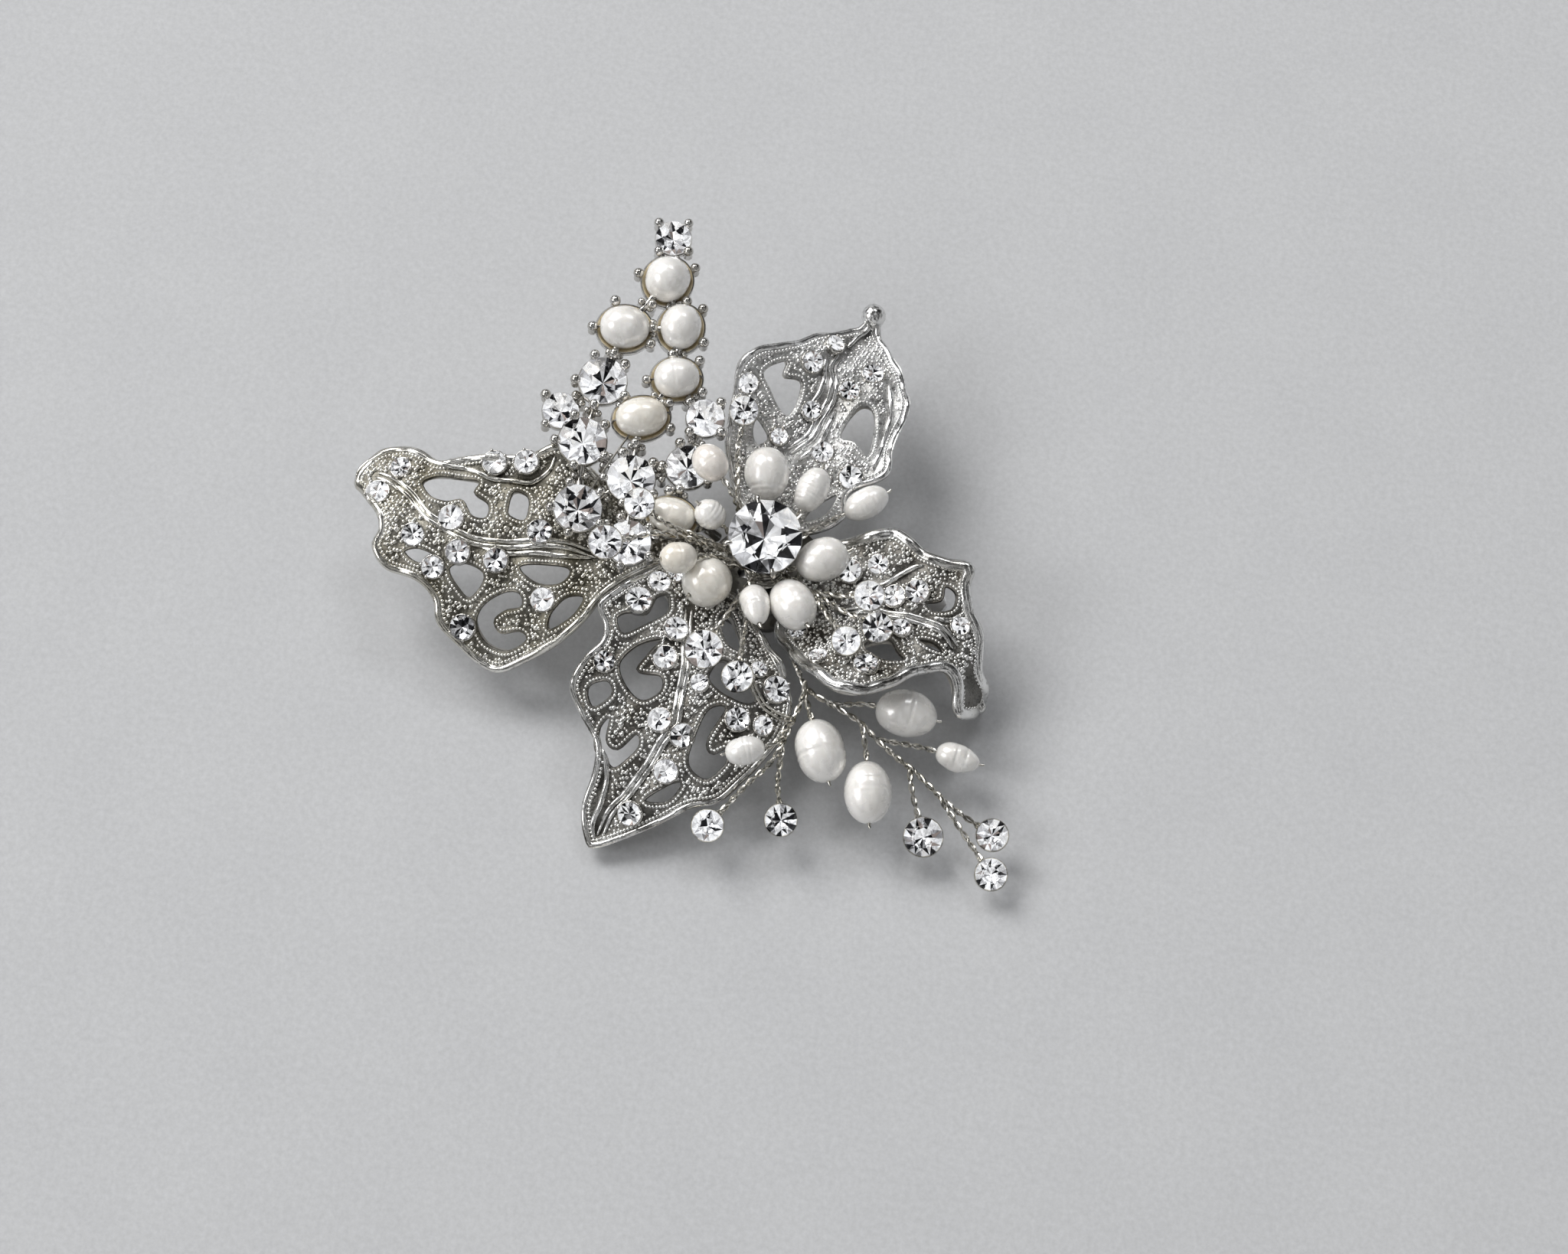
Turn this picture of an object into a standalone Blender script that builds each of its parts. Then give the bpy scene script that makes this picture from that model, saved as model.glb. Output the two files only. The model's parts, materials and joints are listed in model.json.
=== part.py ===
"""Flower hair clip: a sprung steel clip that carries a cast and wired flower.

Run it with: blender --background --python part.py
Blender 4.5, metres, +Z up. Lengths below are in millimetres until make_object() scales them.
X runs along the clip, from the jaw tips (-X) to the lever (+X), and the clip lies flat on z = 0.
The flower sits over the origin, turned FLOWER_TURN degrees about Z from the clip. Coordinates
of the flower's pieces below are in its own turned frame, which an empty carries.
"""

import math

import bmesh
import bpy
from mathutils import Matrix, Vector
from mathutils.geometry import delaunay_2d_cdt

MM = 0.001
GAP = 0.3
FLOWER_TURN = 12.0

# Clip
JAW_TIP_X = -17.0
LEVER_END_X = 24.0
HINGE_X = 12.0
HINGE_Z = 3.0
STRIP = 0.8
JAW_WIDTH = 7.0
TIP_WIDTH = 5.0
UPPER_SLOPE = 0.122
UPPER_UNDERSIDE = 3.6
EAR = 0.7
LOWER_EAR_Y = 2.5
UPPER_EAR_Y = 3.95
EAR_LENGTH = 5.0
LOWER_EAR_FOOT = 0.3
LOWER_EAR_TOP = 4.2
UPPER_EAR_FOOT = 1.2
TAB_INNER_Y = 3.0
PIN_RADIUS = 0.7
PIN_HOLE = 0.85
PIN_HEAD_RADIUS = 1.25
PIN_HEAD_GAP = 0.1
PIN_HEAD = 0.5
PIN_OVERHANG = 0.4
TOOTH_HALF_LENGTH = 0.9
TOOTH_HALF_WIDTH = 0.4
TOOTH_Y = 2.4
TOOTH_FOOT = 0.6
TOOTH_PITCH = 2.4
TOOTH_COUNT = 6
FIRST_TOOTH_X = -13.5
SPRING_WIRE = 0.28
SPRING_RADIUS = 1.4
SPRING_TURNS = 4
SPRING_PITCH = 0.75
SPRING_LEG = 6.0
SPRING_START = -62.0
SPRING_STEPS = 12

# Back plate
PLATE_RADIUS = 8.0
PLATE_THICKNESS = 1.0
PLATE_HOLE = 0.9
# (radius of the circle of holes, number of holes)
PLATE_HOLE_CIRCLES = ((2.8, 5), (5.8, 9))

# Crystals, as shares of their diameter, and the facets round them
CROWN_SHARE = 0.17
GIRDLE_SHARE = 0.02
PAVILION_SHARE = 0.38
TABLE_SHARE = 0.6
CRYSTAL_SIDES = 10

# Leaves. Points are (along, across) in a leaf's own plan: along its heading from its base, and
# across to its left. "rib" is the height of its middle along it, and "left" and "right" say how
# far each side is raised, 10 mm out from the middle. "curl" rolls the tip down: (start, radius).
LEAF_THICKNESS = 1.2
LEAF_GRID = 3.0
LIFT_REACH = 10.0
LIFT_POWER = 1.6
LEAVES = {
    "leaf_left": dict(
        base=(-5.0, 0.5),
        heading=173.0,
        rib=((0, 7.5), (8, 10), (20, 13.5), (32, 14.5), (42, 14), (49, 12)),
        left=((0, 0), (15, -1.5), (30, -4), (45, -4)),
        right=((0, 0), (15, 1), (30, 1.5), (45, 0)),
        curl=None,
        outline=(
            (1, -2), (8, -3), (14, -5), (20, -9), (23.5, -10.5), (27, -8.5), (31, -8),
            (35, -7.5), (38, -6.5), (41, -8), (44, -8.5), (47, -7.5), (49, -4), (47.5, -2),
            (45, 1), (44.5, 3), (45, 5), (43, 7.5), (39, 8.5), (36.5, 10.5), (35.5, 13),
            (32, 15.5), (28, 17.5), (24, 16.5), (20, 14.5), (17, 11.5), (14, 7), (8, 2.5), (1, 2.5),
        ),
        openings=(
            ((40, -3.5), (38.5, -1.5), (36.5, -1), (34.5, -1.5), (33, 0.5), (31, 0.5), (31, -1.5),
             (33, -2.7), (32.5, -4.2), (35, -4.5), (38.5, -4.5)),
            ((28.5, -1), (28, -3.5), (26, -3), (26, 0), (28, 0)),
            ((41, 5.5), (39, 5), (36.5, 6), (39, 6.7)),
            ((35, 7), (33, 6.2), (30.5, 7), (30.5, 8.5), (32, 10), (33.5, 9)),
            ((26, 6), (23, 5.3), (19.5, 5.5), (20.5, 7.5), (23.5, 7.7)),
            ((27.5, 9), (25.5, 9), (25, 10.5), (27, 11), (28.5, 12.2), (27.5, 13.5), (25, 13.2),
             (24, 14.2), (26, 15.3), (29, 14.7), (30.8, 12.5), (30, 10.5)),
            ((21, 13), (21.3, 11.2), (19.5, 9), (17.3, 8.7), (18.3, 11)),
        ),
    ),
    "leaf_lower": dict(
        base=(-2.0, -4.5),
        heading=243.0,
        rib=((0, 8), (8, 11), (18, 10.5), (26, 7.5), (33, 3.5), (38, 1.2)),
        left=((0, 0), (10, -2.5), (25, -2.5), (38, 0)),
        right=((0, 3), (10, 1.5), (25, 1), (38, 1)),
        curl=None,
        outline=(
            (1, -3), (1.5, -7), (1.5, -10.5), (5, -12.5), (9, -14.5), (12, -15.5), (14, -13.5),
            (16, -13), (19, -14), (22.5, -14), (25, -11), (27, -8), (30, -7), (34, -6.5),
            (37, -4.5), (37.5, -3), (35, 0), (31.5, 3.5), (28.5, 6), (26, 9), (21, 11), (17, 12),
            (13, 12), (9.5, 10.5), (7, 7.5), (4, 3), (1, -1),
        ),
        openings=(
            ((7.5, -9.7), (6.3, -8.6), (8.5, -7.5), (11, -9), (13.8, -11), (12.5, -12.7), (11, -11.8),
             (10, -9.7)),
            ((12, -6.5), (14.5, -9), (17.5, -9.7), (19.5, -7.5), (20, -5), (18, -3.4), (16.2, -4.3),
             (17, -7.3), (14.5, -7)),
            ((21, -11.7), (19.8, -10), (21, -8.8), (23.3, -10.2), (22.3, -11.7)),
            ((25, -8.5), (23.4, -7.8), (26, -7), (26.3, -5.3), (23.7, -3.9), (25, -2.9), (28.2, -4.5),
             (28, -6.2), (27, -7.7)),
            ((17, 3), (16, 4.8), (20.5, 4.5), (21.7, 5.7), (20.3, 7), (22, 7.7), (24.7, 6.3),
             (24, 3.5), (20, 2.8)),
            ((30, 0.5), (27, 2.7), (26.5, 4), (29, 3.2)),
            ((13.5, 1), (10.8, 1.5), (11.3, 4.5), (13, 7.5), (14.5, 6), (14.5, 2.5)),
            ((6, -1.5), (8.5, 1.2), (8.5, 3.2), (6, 1.2), (4.2, -1.1)),
        ),
    ),
    "leaf_upper": dict(
        base=(2.5, 4.0),
        heading=62.0,
        rib=((0, 8.5), (10, 12), (20, 13), (27, 11.3), (30.5, 10.5), (34, 12.5)),
        left=((0, 0), (10, 2), (22, 3), (34, 1)),
        right=((0, 0), (10, 0), (22, -1.5), (34, -1)),
        curl=None,
        outline=(
            (0, 3), (2, 8), (5.5, 11.5), (8.5, 13), (12, 14), (15.5, 15), (18.5, 14), (22, 11),
            (26, 9), (29, 6.5), (31.5, 5), (33.5, 4.8), (33.8, 3.2), (31.5, 2.5), (29, -0.5), (26, -4),
            (22, -6.5), (18, -7),
            (15.5, -7.5), (13, -8.5), (11, -7.5), (8, -5), (5.5, -6), (3, -4.5), (1, -1.5),
        ),
        openings=(
            ((16.5, 12), (19.5, 10.2), (17.5, 9.5), (18.3, 7.3), (14.5, 6.4), (13.2, 7.2), (15, 10.5)),
            ((19.5, -1), (19.8, -2.5), (17, -4.2), (13.6, -5), (14.3, -2.5), (14.2, -0.6), (17, -0.4)),
            ((11, 10), (9.7, 7.6), (8.3, 8.5), (9.3, 9.8)),
            ((6.7, -3), (7.4, -3.9), (4.7, -3.8), (2.9, -1.6), (4, -1.4)),
        ),
    ),
    "leaf_right": dict(
        base=(4.5, -2.5),
        heading=-22.0,
        rib=((0, 8.5), (8, 10), (16, 11), (24, 10), (32, 8)),
        left=((0, 0), (8, 2.5), (20, 2), (32, 0)),
        right=((0, 0), (8, 2.5), (20, 2), (32, 0)),
        curl=(20.5, 6.0),
        outline=(
            (0, 3), (3, 6.5), (6, 8), (9, 9.5), (11.5, 9), (14, 8), (17, 8), (20, 8.5), (20.5, 6),
            (22, 3.5), (24.5, 1), (26, -2.5), (29, -3.5), (31, -4.5), (28, -8), (26, -9.5),
            (24, -7), (22, -5.7), (20, -7), (18, -9.5), (16, -12.5), (13, -15), (10, -15),
            (6, -12.7), (2.5, -10), (0, -7),
        ),
        openings=(
            ((18, 5), (19.6, 4.6), (19.9, 2.6), (18, 1.4), (16.5, 2), (18.2, 3.2)),
            ((11.5, -7), (14, -5), (15.5, -5.8), (17, -7.3), (14, -8.6)),
            ((17.5, -3.5), (19.5, -2.9), (21, -3.5), (19, -4.2)),
        ),
    ),
}

# Cluster frame: fifteen claw settings on one plane that rises away from the flower's centre.
CLUSTER_HEADING = 107.0
CLUSTER_SLOPE = 0.22
CLUSTER_HEIGHT = 16.0
CLUSTER_START = 8.0
COLLET_WALL = 0.4
COLLET_TOP = -0.35
COLLET_BOTTOM = -1.6
CLAW_REACH = 0.5
CLAW_BALL = 0.6
CLAW_HEIGHT = 0.55
LINK_RADIUS = 0.45
# name: (x, y, diameter, drop below the plane)
CLUSTER_CRYSTALS = {
    "cluster_crystal_1": (-12.0, 40.25, 4.6, 0.0),
    "cluster_crystal_2": (-21.0, 21.0, 6.2, 0.0),
    "cluster_crystal_3": (-26.5, 18.0, 4.7, 2.2),
    "cluster_crystal_4": (-23.5, 13.0, 6.2, 0.0),
    "cluster_crystal_5": (-17.25, 8.25, 6.2, 0.0),
    "cluster_crystal_6": (-10.0, 10.0, 5.6, 0.0),
    "cluster_crystal_7": (-24.0, 4.25, 6.2, 0.0),
    "cluster_crystal_8": (-17.5, 0.0, 5.8, 0.0),
    "cluster_crystal_9": (-7.75, 16.5, 4.9, 0.0),
}
# name: (x, y, length, width, heading of the length)
CLUSTER_PEARLS = {
    "cluster_pearl_1": (-12.75, 34.5, 6.1, 5.8, 60.0),
    "cluster_pearl_2": (-18.25, 28.0, 6.5, 5.6, 0.0),
    "cluster_pearl_3": (-11.0, 28.25, 6.0, 5.3, 75.0),
    "cluster_pearl_4": (-11.5, 21.5, 6.0, 5.2, 5.0),
    "cluster_pearl_5": (-16.0, 16.25, 6.8, 5.1, 10.0),
    "cluster_pearl_6": (-12.0, 3.5, 6.2, 4.6, -15.0),
}
CLUSTER_LINKS = (
    ("crystal_1", "pearl_1"), ("pearl_1", "pearl_2"), ("pearl_1", "pearl_3"),
    ("pearl_2", "pearl_3"), ("pearl_3", "pearl_4"), ("pearl_2", "crystal_2"),
    ("crystal_2", "pearl_5"), ("crystal_2", "crystal_4"), ("crystal_2", "crystal_3"),
    ("crystal_3", "crystal_4"), ("pearl_4", "pearl_5"), ("pearl_4", "crystal_9"),
    ("pearl_5", "crystal_5"), ("crystal_4", "crystal_5"), ("crystal_9", "crystal_6"),
    ("crystal_5", "crystal_6"), ("crystal_4", "crystal_7"), ("crystal_5", "crystal_7"),
    ("crystal_5", "crystal_8"), ("crystal_7", "crystal_8"), ("crystal_6", "pearl_6"),
    ("crystal_8", "pearl_6"),
)
TANG = ((-8.8, 2.7, 14.4), (-8.0, 4.2, 11.5), (-6.5, 5.2, 6.6))
TANG_RADIUS = 0.8

# Centre
CENTRE_CRYSTAL = dict(centre=(0.0, -0.5, 18.0), diameter=9.5, normal=(0.05, -0.3, 0.95))
HUB_RADIUS = 2.6
HUB_BOTTOM = 6.4
HUB_TOP = 11.6
WIRE_RADIUS = 0.35
BORE_WIRE = 0.2
BORE = 0.4
STUB = 0.6
# name: (x, y, z, length, width, heading of the drilled axis, its pitch)
CENTRE_PEARLS = {
    "centre_pearl_1": (-7.0, 2.9, 17.5, 4.3, 3.8, 150.0, 40.0),
    "centre_pearl_2": (-7.0, 8.7, 20.6, 5.2, 4.4, 128.0, 10.0),
    "centre_pearl_3": (-11.0, -3.5, 18.0, 5.0, 4.1, 195.0, 20.0),
    "centre_pearl_4": (-7.4, -5.0, 14.0, 6.6, 6.3, 225.0, 15.0),
    "centre_pearl_5": (0.2, 9.5, 16.0, 7.0, 5.8, 92.0, 15.0),
    "centre_pearl_6": (6.0, 7.7, 15.0, 6.2, 4.2, 62.0, 15.0),
    "centre_pearl_7": (13.0, 7.0, 12.5, 6.4, 4.0, 27.0, 5.0),
    "centre_pearl_8": (7.3, -2.0, 14.3, 7.0, 5.6, 15.0, 10.0),
    "centre_pearl_9": (3.5, -8.2, 14.0, 7.2, 5.7, -60.0, 10.0),
    "centre_pearl_10": (-1.2, -8.6, 14.6, 5.9, 3.8, -80.0, 10.0),
}
# name: (x, y, z, diameter, points that the stem passes on its way from the hub)
WIRED_CRYSTALS = {
    "wired_crystal_1": (-16.0, 3.25, 20.0, 3.8, ((-8.0, 0.4, 15.5), (-12.5, 1.0, 18.6))),
    "wired_crystal_2": (-20.25, -2.0, 19.5, 4.2, ((-8.0, -0.2, 15.5), (-13.0, -0.2, 18.4))),
    "wired_crystal_3": (-2.75, 18.25, 17.0, 3.7, ((-3.3, 6.0, 13.5), (-3.6, 12.0, 16.0))),
    "wired_crystal_4": (-7.75, -14.5, 14.2, 4.8, ((-2.5, -5.0, 12.2), (-5.0, -9.5, 13.0))),
    "wired_crystal_5": (-3.5, -17.75, 13.0, 3.9, ((-2.0, -5.0, 11.6), (-2.6, -11.0, 12.4))),
    "wired_crystal_6": (10.25, -14.0, 15.6, 3.6, ((5.3, -5.1, 12.0), (8.0, -9.5, 13.4))),
    "wired_crystal_7": (14.25, -11.75, 14.8, 3.8, ((5.3, -5.1, 12.0), (9.5, -8.4, 13.2))),
    "wired_crystal_8": (13.25, -7.5, 15.2, 3.8, ((5.3, -5.1, 12.0), (9.0, -6.6, 13.4))),
}
STONE_NORMAL = (0.0, -0.3, 0.95)
SMALL_COLLET_BOTTOM = -1.15
SMALL_COLLET_SIDES = 12

# Lower spray. Each branch is a list of points chosen by hand, from the trunk outwards.
SPRAY_TRUNK = (
    (1.5, -3.2, 7.2), (2.2, -6.0, 7.0), (2.8, -10.0, 7.0), (3.9, -14.0, 8.4), (5.5, -18.0, 9.4),
    (8.4, -20.0, 9.3),
    (11.8, -22.2, 9.0), (14.1, -24.5, 8.5), (16.9, -26.8, 7.5), (18.9, -28.2, 7.0),
    (22.0, -31.2, 6.0), (24.8, -33.4, 5.2), (27.0, -34.8, 4.4),
)
SPRAY_BRANCHES = (
    ((5.2, -17.0, 9.6), (4.7, -19.5, 9.6), (3.2, -22.8, 9.0), (1.0, -27.1, 8.0),
     (-2.2, -30.0, 7.0), (-5.6, -33.4, 5.4)),
    ((2.4, -24.4, 8.6), (2.0, -27.0, 8.2), (1.6, -30.0, 7.2), (1.9, -32.8, 5.4)),
    ((18.3, -27.8, 7.2), (18.6, -30.5, 6.0), (19.4, -34.0, 4.2)),
    ((22.0, -31.2, 6.0), (24.0, -34.3, 5.2), (26.4, -37.8, 4.2), (27.6, -39.6, 3.4)),
)
# name: (x, y, z, length, width, heading of the drilled axis, its pitch, where its stem starts)
SPRAY_PEARLS = {
    "spray_pearl_1": (7.0, -26.0, 8.3, 8.3, 6.4, -75.0, -10.0, (5.0, -18.5, 9.6)),
    "spray_pearl_2": (13.0, -31.0, 6.6, 8.1, 6.1, -88.0, -10.0, (12.4, -23.0, 8.9)),
    "spray_pearl_3": (18.0, -20.5, 7.5, 8.0, 6.1, -13.0, -5.0, (8.4, -20.0, 9.3)),
    "spray_pearl_4": (24.5, -26.0, 6.0, 5.9, 3.6, -15.0, -8.0, (14.1, -24.5, 8.5)),
    "spray_pearl_5": (-2.5, -27.2, 11.2, 5.2, 3.7, 190.0, 0.0, (3.4, -22.4, 9.1)),
}
# name: (x, y, z, diameter)
SPRAY_CRYSTALS = {
    "spray_crystal_1": (-7.25, -35.25, 6.0, 4.0),
    "spray_crystal_2": (2.0, -34.5, 6.0, 4.0),
    "spray_crystal_3": (20.0, -36.25, 4.6, 4.9),
    "spray_crystal_4": (28.75, -36.0, 4.6, 4.0),
    "spray_crystal_5": (28.5, -41.0, 3.8, 4.0),
}

# Colour, metallic and roughness of each finish.
FINISHES = {
    "antique_silver": ((0.62, 0.60, 0.56), 1.0, 0.30),
    "wire_silver": ((0.60, 0.57, 0.52), 1.0, 0.28),
    "clip_steel": ((0.58, 0.58, 0.59), 1.0, 0.32),
    "spring_steel": ((0.45, 0.45, 0.46), 1.0, 0.35),
    "crystal": ((0.92, 0.94, 0.96), 0.0, 0.03),
    "pearl_white": ((0.90, 0.88, 0.84), 0.0, 0.22),
    "pearl_cream": ((0.87, 0.82, 0.70), 0.0, 0.22),
    "pearl_peach": ((0.88, 0.76, 0.66), 0.0, 0.22),
}
CREAM_PEARLS = ("cluster_pearl_5", "cluster_pearl_6", "centre_pearl_3", "centre_pearl_4")
PEACH_PEARLS = ("centre_pearl_2",)


# ---------------------------------------------------------------- scene helpers


def clear_scene():
    for obj in list(bpy.data.objects):
        bpy.data.objects.remove(obj)


def finish(name):
    """The named finish as a Principled material, made once."""
    material = bpy.data.materials.get(name)
    if material is None:
        colour, metallic, roughness = FINISHES[name]
        material = bpy.data.materials.new(name)
        material.use_nodes = True
        shader = material.node_tree.nodes["Principled BSDF"]
        shader.inputs["Base Color"].default_value = (*colour, 1.0)
        shader.inputs["Metallic"].default_value = metallic
        shader.inputs["Roughness"].default_value = roughness
    return material


def make_object(name, bm, finish_name, parent=None, origin=(0.0, 0.0, 0.0)):
    """The bmesh, in millimetres, as an object in metres with its origin at the given point."""
    bmesh.ops.translate(bm, verts=bm.verts, vec=-Vector(origin))
    bmesh.ops.scale(bm, verts=bm.verts, vec=(MM, MM, MM))
    bmesh.ops.recalc_face_normals(bm, faces=bm.faces)
    mesh = bpy.data.meshes.new(name)
    bm.to_mesh(mesh)
    bm.free()
    mesh.shade_smooth()
    mesh.set_sharp_from_angle(angle=math.radians(35))
    mesh.materials.append(finish(finish_name))
    obj = bpy.data.objects.new(name, mesh)
    obj.location = Vector(origin) * MM
    obj.parent = parent
    bpy.context.scene.collection.objects.link(obj)
    return obj


def make_empty(name, location, turn=0.0):
    empty = bpy.data.objects.new(name, None)
    empty.location = Vector(location) * MM
    empty.rotation_euler.z = math.radians(turn)
    bpy.context.scene.collection.objects.link(empty)
    return empty


def united(bodies):
    """The closed bmeshes joined by one exact Boolean union, as one bmesh."""
    helpers = bpy.data.collections.new("helpers")
    bpy.context.scene.collection.children.link(helpers)
    objects = []
    for bm in bodies:
        bmesh.ops.recalc_face_normals(bm, faces=bm.faces)
        mesh = bpy.data.meshes.new("helper")
        bm.to_mesh(mesh)
        bm.free()
        objects.append(bpy.data.objects.new("helper", mesh))
    base = objects[0]
    bpy.context.scene.collection.objects.link(base)
    for obj in objects[1:]:
        helpers.objects.link(obj)
    union = base.modifiers.new("union", "BOOLEAN")
    union.operation = "UNION"
    union.solver = "EXACT"
    union.operand_type = "COLLECTION"
    union.collection = helpers
    graph = bpy.context.evaluated_depsgraph_get()
    joined = bmesh.new()
    joined.from_mesh(bpy.data.meshes.new_from_object(base.evaluated_get(graph)))
    for obj in objects:
        bpy.data.objects.remove(obj)
    bpy.data.collections.remove(helpers)
    return joined


# ---------------------------------------------------------------- curves


def interpolate(knots, x):
    """Height at x on a smooth curve through the (x, height) knots, flat outside them."""
    xs = [knot[0] for knot in knots]
    ys = [knot[1] for knot in knots]
    if x <= xs[0]:
        return ys[0]
    if x >= xs[-1]:
        return ys[-1]
    i = max(k for k in range(len(xs) - 1) if xs[k] <= x)

    def slope(k):
        a, b = max(k - 1, 0), min(k + 1, len(xs) - 1)
        return (ys[b] - ys[a]) / (xs[b] - xs[a])

    step = xs[i + 1] - xs[i]
    t = (x - xs[i]) / step
    start = (2 * t**3 - 3 * t**2 + 1) * ys[i] + (t**3 - 2 * t**2 + t) * slope(i) * step
    end = (3 * t**2 - 2 * t**3) * ys[i + 1] + (t**3 - t**2) * slope(i + 1) * step
    return start + end


def spline_point(a, b, c, d, t):
    """A point between b and c on the Catmull-Rom spline through a, b, c and d."""
    return 0.5 * (
        2 * b + (c - a) * t + (2 * a - 5 * b + 4 * c - d) * t**2 + (3 * b - a - 3 * c + d) * t**3
    )


def closed_loop(points, spacing):
    """The smooth closed curve through the points, with a point about every spacing."""
    corners = [Vector(point) for point in points]
    count = len(corners)
    loop = []
    for i in range(count):
        a, b = corners[i - 1], corners[i]
        c, d = corners[(i + 1) % count], corners[(i + 2) % count]
        steps = max(1, round((c - b).length / spacing))
        loop.extend(spline_point(a, b, c, d, k / steps) for k in range(steps))
    return loop


def smooth_path(points, steps):
    """The smooth open curve through the points, with so many steps to each span."""
    corners = [Vector(point) for point in points]
    ends = [2 * corners[0] - corners[1], *corners, 2 * corners[-1] - corners[-2]]
    path = []
    for a, b, c, d in zip(ends, ends[1:], ends[2:], ends[3:]):
        path.extend(spline_point(a, b, c, d, k / steps) for k in range(steps))
    path.append(corners[-1])
    return path


# ---------------------------------------------------------------- solids


def tube(path, radii, sides=6):
    """A closed tube along the path. radii is one radius, or one for each point."""
    points = [Vector(point) for point in path]
    if not isinstance(radii, (list, tuple)):
        radii = [radii] * len(points)
    bm = bmesh.new()
    rings = []
    along = (points[1] - points[0]).normalized()
    side = along.orthogonal().normalized()
    for i, point in enumerate(points):
        after = points[min(i + 1, len(points) - 1)]
        before = points[max(i - 1, 0)]
        direction = (after - before).normalized()
        side = (side - direction * side.dot(direction)).normalized()
        other = direction.cross(side)
        ring = []
        for k in range(sides):
            angle = math.tau * k / sides
            offset = side * math.cos(angle) + other * math.sin(angle)
            ring.append(bm.verts.new(point + offset * radii[i]))
        rings.append(ring)
    for first, second in zip(rings, rings[1:]):
        for k in range(sides):
            bm.faces.new((first[k], first[(k + 1) % sides], second[(k + 1) % sides], second[k]))
    bm.faces.new(rings[0])
    bm.faces.new(rings[-1])
    return bm


def turned(profile, sides, matrix, ring=False):
    """The (radius, height) profile turned about Z and placed by the matrix.

    A ring's profile is a closed loop clear of the axis. Any other starts and ends on the axis.
    """
    bm = bmesh.new()
    rows = []
    for radius, height in profile:
        if radius == 0:
            rows.append([bm.verts.new(matrix @ Vector((0, 0, height)))])
            continue
        row = []
        for k in range(sides):
            angle = math.tau * k / sides
            row.append(
                bm.verts.new(
                    matrix @ Vector((radius * math.cos(angle), radius * math.sin(angle), height))
                )
            )
        rows.append(row)
    pairs = list(zip(rows, rows[1:]))
    if ring:
        pairs.append((rows[-1], rows[0]))
    for first, second in pairs:
        for k in range(sides):
            nxt = (k + 1) % sides
            if len(first) == 1:
                bm.faces.new((first[0], second[k], second[nxt]))
            elif len(second) == 1:
                bm.faces.new((first[k], second[0], first[nxt]))
            else:
                bm.faces.new((first[k], second[k], second[nxt], first[nxt]))
    return bm


def inside(point, loop):
    """True where the plan point lies inside the closed loop."""
    x, y = point[0], point[1]
    hit = False
    for a, b in zip(loop, loop[1:] + loop[:1]):
        if (a[1] > y) != (b[1] > y) and x < a[0] + (y - a[1]) * (b[0] - a[0]) / (b[1] - a[1]):
            hit = not hit
    return hit


def slab(outline, openings, surface, thickness, grid):
    """A sheet with openings, bent over surface(x, y), as one closed solid.

    The outline and the openings are plan loops. surface() gives the sheet's middle in space.
    """
    loops = [outline, *openings]
    flat = []
    edges = []
    for loop in loops:
        first = len(flat)
        flat.extend(Vector(point[:2]) for point in loop)
        edges.extend((first + k, first + (k + 1) % len(loop)) for k in range(len(loop)))
    low_x, high_x = min(p[0] for p in outline), max(p[0] for p in outline)
    low_y, high_y = min(p[1] for p in outline), max(p[1] for p in outline)
    clear = 0.45 * grid
    border = list(flat)
    for i in range(int((high_x - low_x) / grid) + 1):
        for j in range(int((high_y - low_y) / grid) + 1):
            point = Vector((low_x + (i + 0.5 * (j % 2)) * grid, low_y + j * grid))
            if not inside(point, outline) or any(inside(point, hole) for hole in openings):
                continue
            if min((point - other).length for other in border) > clear:
                flat.append(point)
    verts, _, faces, *_ = delaunay_2d_cdt(flat, edges, [], 0, 1e-6)
    kept = []
    for face in faces:
        middle = sum((verts[k] for k in face), Vector((0, 0))) / len(face)
        if inside(middle, outline) and not any(inside(middle, hole) for hole in openings):
            kept.append(face)
    bm = bmesh.new()
    top = {}
    bottom = {}
    step = 0.05
    for k in sorted({k for face in kept for k in face}):
        x, y = verts[k]
        middle = surface(x, y)
        across = surface(x + step, y) - surface(x - step, y)
        beyond = surface(x, y + step) - surface(x, y - step)
        normal = across.cross(beyond).normalized()
        if normal.z < 0 and abs(normal.z) > 0.2:
            normal.negate()
        top[k] = bm.verts.new(middle + normal * thickness / 2)
        bottom[k] = bm.verts.new(middle - normal * thickness / 2)
    used = {}
    for face in kept:
        bm.faces.new([top[k] for k in face])
        bm.faces.new([bottom[k] for k in reversed(face)])
        for a, b in zip(face, face[1:] + face[:1]):
            used[(a, b)] = True
    for a, b in used:
        if (b, a) not in used:
            bm.faces.new((top[b], top[a], bottom[a], bottom[b]))
    return bm


def facing(normal, centre):
    """A matrix that puts Z along the normal, with its origin at the centre."""
    turn = Vector((0, 0, 1)).rotation_difference(Vector(normal).normalized())
    return Matrix.Translation(Vector(centre)) @ turn.to_matrix().to_4x4()


def axis_of(heading, pitch):
    """The unit vector at a plan heading and a pitch above the horizontal, in degrees."""
    plan, rise = math.radians(heading), math.radians(pitch)
    return Vector(
        (math.cos(plan) * math.cos(rise), math.sin(plan) * math.cos(rise), math.sin(rise))
    )


def crystal(matrix, diameter):
    """A pointed-back crystal: flat table, crown, girdle and pavilion."""
    radius = diameter / 2
    crown, girdle, depth = (
        share * diameter for share in (CROWN_SHARE, GIRDLE_SHARE, PAVILION_SHARE)
    )
    profile = (
        (0, crown), (TABLE_SHARE * radius, crown), (radius, girdle), (radius, -girdle), (0, -depth),
    )
    return turned(profile, CRYSTAL_SIDES, matrix)


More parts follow.
